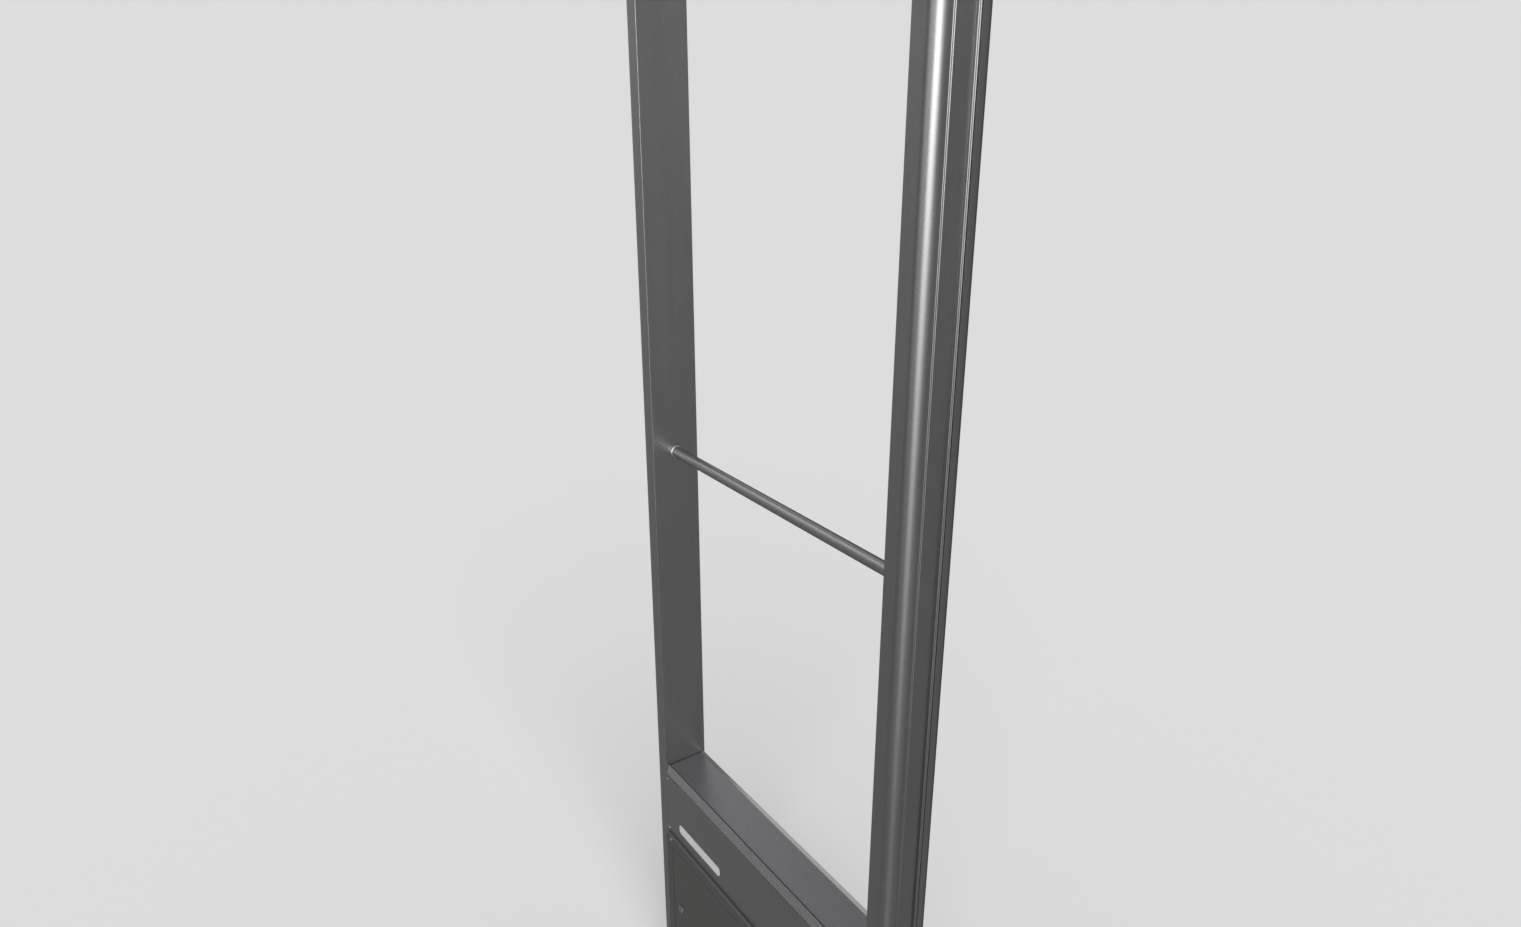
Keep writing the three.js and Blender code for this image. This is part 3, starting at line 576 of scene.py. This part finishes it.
def bead(start, end, steps=8):
    """A half-round ridge from one distance across the strip to another."""
    points = []
    for i in range(steps + 1):
        angle = math.pi * i / steps
        across = (start + end) / 2 - (end - start) / 2 * math.cos(angle)
        points.append((POST_WIDTH - BEAD_HEIGHT * (1 - math.sin(angle)), across))
    return points


def strip_outline():
    """A snap-in strip: two beads side by side on the lip at either edge, and a flat between."""
    back = CHANNEL_FLOOR + GAP
    middle = -STRIP_HALF + LIP / 2
    valley = 0.1 * MM
    return mirrored_across([
        (back, -STRIP_HALF),
        *bead(-STRIP_HALF, middle - valley),
        *bead(middle + valley, -STRIP_HALF + LIP),
        (POST_WIDTH - LIP_RISE, -STRIP_HALF + LIP),
    ])


def upright(side):
    return lambda out, across, z: Vector((side * (INNER_X + out), across, z))


def overhead(out, across, x):
    return Vector((x, across, FRAME_TOP - POST_WIDTH + out))


# ---------------------------------------------------------------- posts and top


def build_posts():
    for name, side in SIDES:
        low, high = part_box(f"post_{name}")
        section = section_outline(CHANNEL_HALF, CHANNEL_FLOOR)
        solid = Solid().extrude(section, upright(side), low.z, high.z, [cavity_outline()])
        piece(f"post_{name}_extrusion", solid, f"post_{name}", post_metal, 0.25 * MM)
        low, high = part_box(f"post_strip_{name}")
        solid = Solid().extrude(strip_outline(), upright(side), low.z, high.z)
        piece(f"post_{name}_snap_strip", solid, f"post_strip_{name}", strip_metal, 0.12 * MM)
        refined(f"post_foot_{name}", steel)


def corner_place(side, straight, steps):
    """Maps a section point and a step along the corner's path to its place."""

    def place(out, across, step):
        angle = math.pi / 2 * min(max(step, 0), steps) / steps
        overrun = straight * (min(step, 0) + max(step - steps, 0))
        radius = CORNER_RADIUS + out
        x = RAIL_END_X + radius * math.cos(angle) - overrun * math.sin(angle)
        z = POST_TOP + radius * math.sin(angle) + overrun * math.cos(angle)
        return Vector((side * x, across, z))

    return place


def tenon_outline(inset):
    """The sleeve that reaches into the hollow of a post or the rail."""
    margin = TENON_INSET + inset
    across = HALF_DEPTH - margin
    return rectangle(margin, -across, TENON_OUT - inset, across)


def build_corner(name, side, steps=24):
    """A moulded quarter bend whose inner sleeve reaches into the post and the rail."""
    node = f"corner_{name}"
    straight = RAIL_END_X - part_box("corner_right")[0].x
    place = corner_place(side, straight, steps)
    outline = section_outline(STRIP_HALF - LIP, POST_WIDTH - LIP_RISE)
    outer = tenon_outline(0)
    inner = tenon_outline(TENON_WALL)
    solid = Solid()
    shell = [solid.ring(place(a, b, s) for a, b in outline) for s in range(steps + 1)]
    bore = [solid.ring(place(a, b, s) for a, b in inner) for s in range(-1, steps + 2)]
    for rings in (shell, bore):
        for a, b in zip(rings, rings[1:]):
            solid.wall(a, b)
    for end, tip, mouth in ((0, -1, bore[0]), (steps, steps + 1, bore[-1])):
        root_ring = solid.ring(place(a, b, end) for a, b in outer)
        tip_ring = solid.ring(place(a, b, tip) for a, b in outer)
        solid.wall(root_ring, tip_ring)
        solid.cap(tip_ring, mouth)
        solid.cap(shell[0] if end == 0 else shell[-1], root_ring)
    piece(f"corner_{name}_moulding", solid, node, dark_plastic, 0.3 * MM)


def build_top():
    low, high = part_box("top_rail")
    section = section_outline(CHANNEL_HALF, CHANNEL_FLOOR)
    solid = Solid().extrude(section, overhead, low.x, high.x, [cavity_outline()])
    piece("top_rail_extrusion", solid, "top_rail", rail_metal, 0.25 * MM)
    for name, side in SIDES:
        low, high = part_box(f"top_strip_{name}")
        solid = Solid().extrude(strip_outline(), overhead, low.x, high.x)
        piece(f"top_{name}_snap_strip", solid, f"top_strip_{name}", top_strip_metal, 0.12 * MM)
        build_corner(name, side)
    build_lens()
    refined("alarm_lamp_board", board_mask, 0.15 * MM)


def build_lens(steps=14):
    """A crowned hollow bar with rounded shoulders, open underneath."""
    low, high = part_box("alarm_lens")
    wall = 1.5 * MM
    shoulder = 2.2 * MM
    fullness = 0.8

    def arch(half, crown, edge):
        angles = [math.pi * i / steps for i in range(steps + 1)]
        rise = crown - edge
        return [(half * math.cos(a), edge + rise * math.sin(a) ** fullness) for a in angles]

    def loop(inset, floor):
        half = high.y - inset
        points = arch(half, high.z - inset, high.z - shoulder - inset)
        return [(-half, floor), (half, floor), *points]

    solid = Solid()
    rings = [solid.ring(along_x(a, b, x) for a, b in loop(0, low.z)) for x in (low.x, high.x)]
    ends = (low.x + wall, high.x - wall)
    hollow = [solid.ring(along_x(a, b, x) for a, b in loop(wall, low.z)) for x in ends]
    underside = []
    for a, b in (rings, hollow):
        for i in range(1, len(a)):
            j = (i + 1) % len(a)
            solid.faces.append((a[i], a[j], b[j], b[i]))
        solid.cap(a)
        solid.cap(b)
        underside.append([a[0], a[1], b[1], b[0]])
    solid.cap(*underside)
    piece("alarm_lens_moulding", solid, "alarm_lens", lens, 0.5 * MM)


# ---------------------------------------------------------------- crossover tube


def around_tube(a, b, x):
    return Vector((x, TUBE_CENTRE.y + a, TUBE_CENTRE.z + b))


def build_tube():
    low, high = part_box("crossover_tube")
    outline = circle(TUBE_RADIUS, 56)
    bore = circle(TUBE_RADIUS - TUBE_WALL, 56)
    solid = Solid().extrude(outline, around_tube, low.x, high.x, [bore])
    piece("crossover_tube_drawn", solid, "crossover_tube", tube_metal, 0.2 * MM, angle=50)
    for name, side in SIDES:
        low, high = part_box(f"tube_ferrule_{name}")
        seat, lip = (high.x, low.x) if side > 0 else (low.x, high.x)
        profile = ferrule_profile(half_size(f"tube_ferrule_{name}", 2), seat, lip)
        solid = Solid().turn(profile, around_tube, 48, hollow=True)
        piece(f"tube_{name}_ferrule", solid, f"tube_ferrule_{name}", ferrule_metal, 0)


def ferrule_profile(rim, seat, lip, steps=10):
    """A quarter dome from its seat on the post to a thin lip round the tube."""
    bore = TUBE_RADIUS + 0.05 * MM
    lip_radius = bore + 0.1 * MM
    dome = []
    for i in range(steps + 1):
        angle = math.pi / 2 * i / steps
        radius = lip_radius + (rim - lip_radius) * math.cos(angle)
        dome.append((radius, seat + (lip - seat) * math.sin(angle)))
    return [(bore, seat), *dome, (bore, lip)]


# ---------------------------------------------------------------- base shells


def build_cap():
    """A tray along the top of the base, whose rims slope gently in and steeply out."""
    low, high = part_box("base_cap")
    outer_slope, inner_slope, rim_height = 2.8 * MM, 3.2 * MM, 2 * MM
    crest = HALF_DEPTH - outer_slope
    inner_foot = crest - inner_slope
    leg = HALF_DEPTH - 2.4 * MM
    underside = crest - 2 * MM
    tray_top = high.z - rim_height
    tray_bottom = tray_top - SHEET
    front_half = [
        (-underside, tray_bottom), (-leg, low.z), (-HALF_DEPTH, low.z),
        (-crest, high.z), (-inner_foot, tray_top),
    ]
    outline = front_half + [(-y, z) for y, z in reversed(front_half)]
    solid = Solid().extrude(outline, along_x, low.x, high.x)
    tray = piece("base_cap_tray", solid, "base_cap", cap_metal, 0.35 * MM, angle=14)
    # The outward slopes take the lighter copy of the cap metal, a painted highlight.
    repaint(tray, slope_metal_painted_light, lambda face: abs(face.center.y) > crest and face.normal.z > 0.1)


def repaint(obj, material, chosen):
    """Gives the chosen faces of a piece a second material."""
    obj.data.materials.append(material)
    for face in obj.data.polygons:
        if chosen(face):
            face.material_index = 1


def screw_holes(*nodes):
    """A pair of holes, left and right, for each screw on the right side."""
    spots = [centre(node) for node in nodes]
    return [circle(SCREW_HOLE, 20, side * spot.x, spot.z) for side in (-1, 1) for spot in spots]


def build_fascia(facing):
    node = f"{facing}_fascia"
    low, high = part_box(node)
    outline = rectangle(low.x, low.z, high.x, high.z)
    holes = screw_holes(*(f"{facing}_fascia_screw_{level}_right" for level in ("upper", "lower")))
    if facing == "rear":
        solid = Solid().extrude(outline, along_y, low.y, high.y, holes)
        piece("rear_fascia_plate", solid, node, rail_metal, 0.25 * MM)
        return
    mark_low, mark_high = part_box("fascia_inlay")
    pocket = mark_outline(mark_low, mark_high, GAP)
    floor = mark_high.y + GAP
    solid = Solid()
    front = [solid.ring(along_y(a, b, low.y) for a, b in loop) for loop in (outline, *holes, pocket)]
    back = [solid.ring(along_y(a, b, high.y) for a, b in loop) for loop in (outline, *holes)]
    bottom = solid.ring(along_y(a, b, floor) for a, b in pocket)
    for a, b in zip(front, [*back, bottom]):
        solid.wall(a, b)
    solid.cap(*front)
    solid.cap(*back)
    solid.cap(bottom)
    piece("front_fascia_plate", solid, node, rail_metal, 0.25 * MM)
    build_mark(mark_low, mark_high)


def mark_outline(low, high, margin):
    rounding = 0.35
    radius = (high.z - low.z) * rounding + margin
    return rounded_rectangle(low.x - margin, low.z - margin, high.x + margin, high.z + margin, radius)


def build_mark(low, high):
    """The generic mark: a plain pale bar with rounded corners, let into the fascia."""
    solid = Solid().extrude(mark_outline(low, high, 0), along_y, low.y, high.y)
    piece("fascia_mark_bar", solid, "fascia_inlay", pale_plastic, 0.12 * MM)


def build_surround(facing):
    """The border round the service cover; its upper edge stands out as a ledge, whose top has a painted
    highlight: a lighter copy of the coat.
    """
    node = f"{facing}_surround"
    low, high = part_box(node)
    cover_low, cover_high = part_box(f"{facing}_cover")
    seam = 1.2 * MM
    opening = rectangle(
        cover_low.x - seam, cover_low.z - seam, cover_high.x + seam, cover_high.z + seam)
    holes = screw_holes(f"{facing}_surround_screw_right")
    outline = rectangle(low.x, low.z, high.x, high.z)
    solid = Solid().extrude(outline, along_y, low.y, high.y, [opening, *holes])
    border = piece(f"{facing}_surround_frame", solid, node, dark_coat, 0.5 * MM)
    # painted highlight: the ledge's top takes the lighter copy of the coat
    repaint(border, painted_highlight_coat, lambda face: face.center.z > high.z - 0.1 * MM)


def build_cover(facing, face):
    """A shallow pan: a skin with two latch holes and a short return round its edge."""
    node = f"{facing}_cover"
    low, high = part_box(node)
    skin_thickness, wall = 2 * MM, 1.5 * MM
    outside, rim = (low.y, high.y) if face < 0 else (high.y, low.y)
    inside = outside - face * skin_thickness
    edge = rectangle(low.x, low.z, high.x, high.z)
    well = rectangle(low.x + wall, low.z + wall, high.x - wall, high.z - wall)
    holes = [circle(LATCH_HOLE, 20, side * LATCH_X, LATCH_Z) for side in (-1, 1)]
    solid = Solid()
    skin = [solid.ring(along_y(a, b, outside) for a, b in loop) for loop in (edge, *holes)]
    back = [solid.ring(along_y(a, b, inside) for a, b in loop) for loop in (well, *holes)]
    lip = [solid.ring(along_y(a, b, rim) for a, b in loop) for loop in (edge, well)]
    solid.wall(skin[0], lip[0])
    solid.wall(back[0], lip[1])
    for a, b in zip(skin[1:], back[1:]):
        solid.wall(a, b)
    solid.cap(*skin)
    solid.cap(*back)
    solid.cap(*lip)
    piece(f"{facing}_cover_pan", solid, node, dark_coat, 0.6 * MM)


def facing_place(x, z, face):
    """Places a turned piece on an axis out of a face, by its distance from the centre plane."""
    return lambda a, b, distance: Vector((x + a, face * distance, z + b))


def reach_from_middle(node):
    """How far a part in the front or rear starts and ends from the centre plane."""
    low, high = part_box(node)
    return sorted((abs(low.y), abs(high.y)))


def build_latch(facing, face, name, side):
    """A quarter-turn latch: a slotted head in a raised ring, a stem and a cross pin."""
    node = f"{facing}_latch_{name}"
    foot, tip = reach_from_middle(node)
    x = side * LATCH_X
    head, stem, chamfer = 5 * MM, LATCH_STEM, 0.35 * MM
    ring_width, dish_slope, dish_depth = 1 * MM, 0.5 * MM, 0.45 * MM
    head_base = tip - 1.1 * MM
    ring = head - ring_width
    dish = tip - dish_depth
    profile = [
        (stem - chamfer, foot), (stem, foot + chamfer), (stem, head_base), (head, head_base),
        (head, tip - chamfer), (head - chamfer, tip), (ring, tip), (ring - dish_slope, dish),
    ]
    solid = Solid().turn(profile, facing_place(x, LATCH_Z, face), 48)
    stud = piece(f"{node}_stud", solid, node, steel, 0.08 * MM)
    carve_slot(stud, x, face, dish, tip)
    pin_from_foot = 1.4 * MM
    build_latch_pin(node, x, face * (foot + pin_from_foot))


def carve_slot(stud, x, face, dish, tip):
    """Cuts the slot for a coin or screwdriver into a latch's dished head."""
    half_width, half_length, rounding, depth = 0.6 * MM, 2.9 * MM, 0.55 * MM, 0.5 * MM
    slot = rounded_rectangle(
        x - half_width, LATCH_Z - half_length, x + half_width, LATCH_Z + half_length, rounding, steps=5)
    above = tip + 1 * MM
    carve(stud, Solid().extrude(slot, along_y, face * (dish - depth), face * above))


def build_latch_pin(node, x, y):
    """The cross pin that turns behind the bracket."""
    half, radius, chamfer = 5.5 * MM, 1 * MM, 0.2 * MM
    profile = [
        (radius - chamfer, x - half), (radius, x - half + chamfer),
        (radius, x + half - chamfer), (radius - chamfer, x + half),
    ]
    pin = Solid().turn(profile, lambda a, b, t: Vector((t, y + a, LATCH_Z + b)), 24)
    piece(f"{node}_pin", pin, node, steel, 0)


def carve(obj, solid):
    """Cuts a solid out of a piece's mesh, before its edges are softened."""
    mesh = bpy.data.meshes.new("cutter")
    mesh.from_pydata([tuple(p) for p in solid.points], [], solid.faces)
    clean(mesh)
    cutter = bpy.data.objects.new("cutter", mesh)
    bpy.context.scene.collection.objects.link(cutter)
    blank = bpy.data.objects.new("blank", obj.data)
    bpy.context.scene.collection.objects.link(blank)
    cut = blank.modifiers.new("cut", "BOOLEAN")
    cut.object = cutter
    cut.solver = "EXACT"
    bpy.context.view_layer.update()
    result = blank.evaluated_get(bpy.context.evaluated_depsgraph_get())
    obj.data = bpy.data.meshes.new_from_object(result)
    bpy.data.objects.remove(blank)
    bpy.data.objects.remove(cutter)


def hexagon(radius, sides):
    """A hexagon with as many points as a circle of that many sides, so that the two join."""
    points = []
    for i in range(sides):
        angle = 2 * math.pi * i / sides
        nearest = math.radians(30) - angle % math.radians(60)
        reach = radius * math.cos(math.radians(30)) / math.cos(nearest)
        points.append((reach * math.cos(angle), reach * math.sin(angle)))
    return points


def build_screw(node, face):
    """A button-head screw with a hexagon socket."""
    end, tip = reach_from_middle(node)
    sides = 24
    head, shank, socket = 2.3 * MM, 1.5 * MM, 0.95 * MM
    point, point_length = 0.7 * shank, 0.5 * MM
    head_height, brim = 1 * MM, 0.2 * MM
    seat = tip - head_height
    dome_foot = seat + brim
    dome = []
    for degrees in (0, 15, 30, 45, 58):
        angle = math.radians(degrees)
        dome.append((head * math.cos(angle), dome_foot + (tip - dome_foot) * math.sin(angle)))
    profile = [(point, end), (shank, end + point_length), (shank, seat), (head, seat), *dome]
    solid = Solid()
    spot = centre(node)
    place = facing_place(spot.x, spot.z, face)
    rings = [solid.ring(place(a, b, t) for a, b in circle(r, sides)) for r, t in profile]
    socket_lip = 0.02 * MM
    socket_top = dome[-1][1] + socket_lip
    for distance in (socket_top, dome_foot):
        rings.append(solid.ring(place(a, b, distance) for a, b in hexagon(socket, sides)))
    for a, b in zip(rings, rings[1:]):
        solid.wall(a, b)
    solid.cap(rings[0])
    solid.cap(rings[-1])
    piece(f"{node}_button", solid, node, screw_metal, 0.05 * MM)


def build_base():
    build_cap()
    for facing, face in FACES:
        build_fascia(facing)
        build_surround(facing)
        build_cover(facing, face)
        for name, side in SIDES:
            build_latch(facing, face, name, side)
            for kind in ("fascia_screw_upper", "fascia_screw_lower", "surround_screw"):
                build_screw(f"{facing}_{kind}_{name}", face)


# ---------------------------------------------------------------- foot plate


def build_foot():
    """The floor plate, with a hole for an anchor near each corner and one for the cable."""
    low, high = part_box("foot_plate")
    outline = rounded_rectangle(low.x, low.y, high.x, high.y, 14 * MM, steps=12)
    anchor_x, anchor_y, anchor_hole = 180 * MM, 41 * MM, 5.5 * MM
    holes = [
        circle(anchor_hole, 32, x, y) for x in (-anchor_x, anchor_x) for y in (-anchor_y, anchor_y)
    ]
    grommet = centre("floor_grommet")
    cable_hole = 9 * MM
    holes.append(circle(cable_hole, 32, grommet.x, grommet.y))
    solid = Solid().extrude(outline, along_z, low.z, high.z, holes)
    piece("foot_plate_steel", solid, "foot_plate", foot_coat, 0.9 * MM)
    refined("floor_grommet", black_rubber, 0.4 * MM)


# ---------------------------------------------------------------- inside the base


def build_inside():
    """What the covers hide. The chips and other blocks that stand out of the board are black."""
    refined("bracket_left", steel)
    refined("bracket_right", steel)
    refined("chassis_plate", steel)
    refined("power_supply", plated, 0.6 * MM)
    refined("terminal_block", terminal_plastic, 0.4 * MM)
    refined("sounder", rocker_plastic, 0.4 * MM)
    refined("power_switch", rocker_plastic, 0.5 * MM)
    refined("switch_rocker", rocker_plastic, 0.6 * MM)
    refined("tamper_switch", dark_plastic, 0.5 * MM)
    refined("tamper_plunger", knob_plastic, 0.2 * MM)
    refined("sensitivity_knob", knob_plastic, 0.4 * MM)
    refined("volume_knob", knob_plastic, 0.4 * MM)
    for cable in ("antenna_cable", "lamp_lead", "supply_lead"):
        refined(cable, grey_sheath, 0.25 * MM)
    refined("mains_lead", black_rubber, 0.45 * MM)
    refined("power_cable", black_rubber, 0.65 * MM)
    board = refined("control_board", board_mask, 0.2 * MM)
    board_thickness, margin = 1.6 * MM, 0.1 * MM
    chip_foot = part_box("control_board")[1].y - board_thickness - margin
    repaint(board, chip_plastic, lambda face: face.center.y < chip_foot)


build_posts()
build_top()
build_tube()
build_base()
build_foot()
build_inside()


# ---------------------------------------------------------------- stage, light and camera


def heading(azimuth, elevation):
    """The direction out from the object towards something: azimuth 0 is the front, 90 is +X."""
    a, e = math.radians(azimuth), math.radians(elevation)
    return Vector((math.sin(a) * math.cos(e), -math.cos(a) * math.cos(e), math.sin(e)))


def build_floor(colour):
    size = 400
    mesh = bpy.data.meshes.new("floor")
    corners = [(-size, -size, 0), (size, -size, 0), (size, size, 0), (-size, size, 0)]
    mesh.from_pydata(corners, [], [(0, 1, 2, 3)])
    floor = bpy.data.objects.new("floor", mesh)
    bpy.context.scene.collection.objects.link(floor)
    finish = Finish("floor")
    mesh.materials.append(finish.set(Base_Color=(colour, colour, colour, 1), Roughness=1.0,
                                     Specular_IOR_Level=0.0))
    floor.visible_glossy = False


def soft_sun(name, azimuth, elevation, spread, strength):
    """Parallel soft light for paint, plastic and the floor; the metal mirrors the world's glows."""
    data = bpy.data.lights.new(name, "SUN")
    data.angle = math.radians(spread)
    data.energy = strength
    lamp = bpy.data.objects.new(name, data)
    bpy.context.scene.collection.objects.link(lamp)
    lamp.rotation_euler = (-heading(azimuth, elevation)).to_track_quat("-Z", "Y").to_euler()
    lamp.visible_glossy = False


def glow(nodes, direction, azimuth, full, gone, level, rise, top):
    """A soft panel: full within one angle of its azimuth, gone at another, brightest at its top."""
    flat = nodes.vector("NORMALIZE", nodes.vector("MULTIPLY", direction, (1, 1, 0)))
    facing = nodes.vector("DOT_PRODUCT", flat, heading(azimuth, 0))
    edges = [math.cos(math.radians(angle)) for angle in (gone, full)]
    across = nodes.spread(facing, 0, level, *edges, smooth=True)
    height = nodes.vector("DOT_PRODUCT", direction, (0, 0, 1))
    away = nodes.maths("ABSOLUTE", nodes.maths("SUBTRACT", height, top))
    fading = nodes.maths("MULTIPLY", nodes.maths("SUBTRACT", away, top), -rise)
    return nodes.maths("MULTIPLY", across, nodes.maths("EXPONENT", fading))


def build_world(seen, ambient, mirrored):
    """Even surroundings for paint; for metal, a dim room with a few soft panels of light."""
    world = bpy.data.worlds.new("studio")
    bpy.context.scene.world = world
    world.use_nodes = True
    nodes = Nodes(world.node_tree)
    direction = nodes.node("ShaderNodeTexCoord").outputs["Generated"]
    panels = mirrored
    for panel in GLOWS:
        panels = nodes.maths("ADD", panels, glow(nodes, direction, **panel))
    darkest = mirrored / 5
    panels = nodes.maths("MAXIMUM", panels, darkest)
    path = nodes.node("ShaderNodeLightPath")
    colour = nodes.blend(path.outputs["Is Camera Ray"], (ambient, ambient, ambient, 1),
                         (seen, seen, seen, 1))
    colour = nodes.blend(path.outputs["Is Glossy Ray"], colour, panels)
    nodes.feed(world.node_tree.nodes["Background"].inputs["Color"], colour)


def build_camera():
    """The viewpoint: a wide lens close to the right post, looking down across the opening."""
    data = bpy.data.cameras.new("camera")
    data.sensor_width = 36
    data.lens = CAMERA_LENS
    data.clip_start = 0.05
    camera = bpy.data.objects.new("camera", data)
    bpy.context.scene.collection.objects.link(camera)
    camera.location = CAMERA_PLACE
    camera.rotation_euler = (math.radians(90 - CAMERA_DOWN), 0, math.radians(CAMERA_AZIMUTH))
    bpy.context.scene.camera = camera


# Azimuth, full and gone are in degrees. The level is at the horizon; the top is the sine of an angle.
GLOWS = (
    {"azimuth": 78, "full": 0, "gone": 28, "level": 3.2, "rise": 5.0, "top": 0.14},
    {"azimuth": 42, "full": 0, "gone": 62, "level": 0.72, "rise": 5.0, "top": 0.14},
    {"azimuth": 130, "full": 15, "gone": 45, "level": 0.035, "rise": 4.0, "top": 0.64},
    {"azimuth": -80, "full": 10, "gone": 60, "level": 0.19, "rise": 2.2, "top": 0.5},
    {"azimuth": -60, "full": 4, "gone": 22, "level": 0.012, "rise": 6.0, "top": 0.68},
    {"azimuth": -140, "full": 20, "gone": 50, "level": -0.16, "rise": -2.2, "top": 0.8},
)
CAMERA_PLACE = (0.6356, -0.4546, 1.049)
CAMERA_LENS = 23.57
CAMERA_DOWN = 20.85
CAMERA_AZIMUTH = 55.3
FLOOR = 0.75
AMBIENT = 0.5
DIM_ROOM = 0.21
SUN = 1.9
SUN_ELEVATION = 50
floor_light = AMBIENT + SUN * math.sin(math.radians(SUN_ELEVATION)) / math.pi

build_floor(FLOOR)
build_world(FLOOR * floor_light, AMBIENT, DIM_ROOM)
soft_sun("key", azimuth=60, elevation=SUN_ELEVATION, spread=35, strength=SUN)
build_camera()
bpy.context.scene.view_settings.view_transform = "Standard"
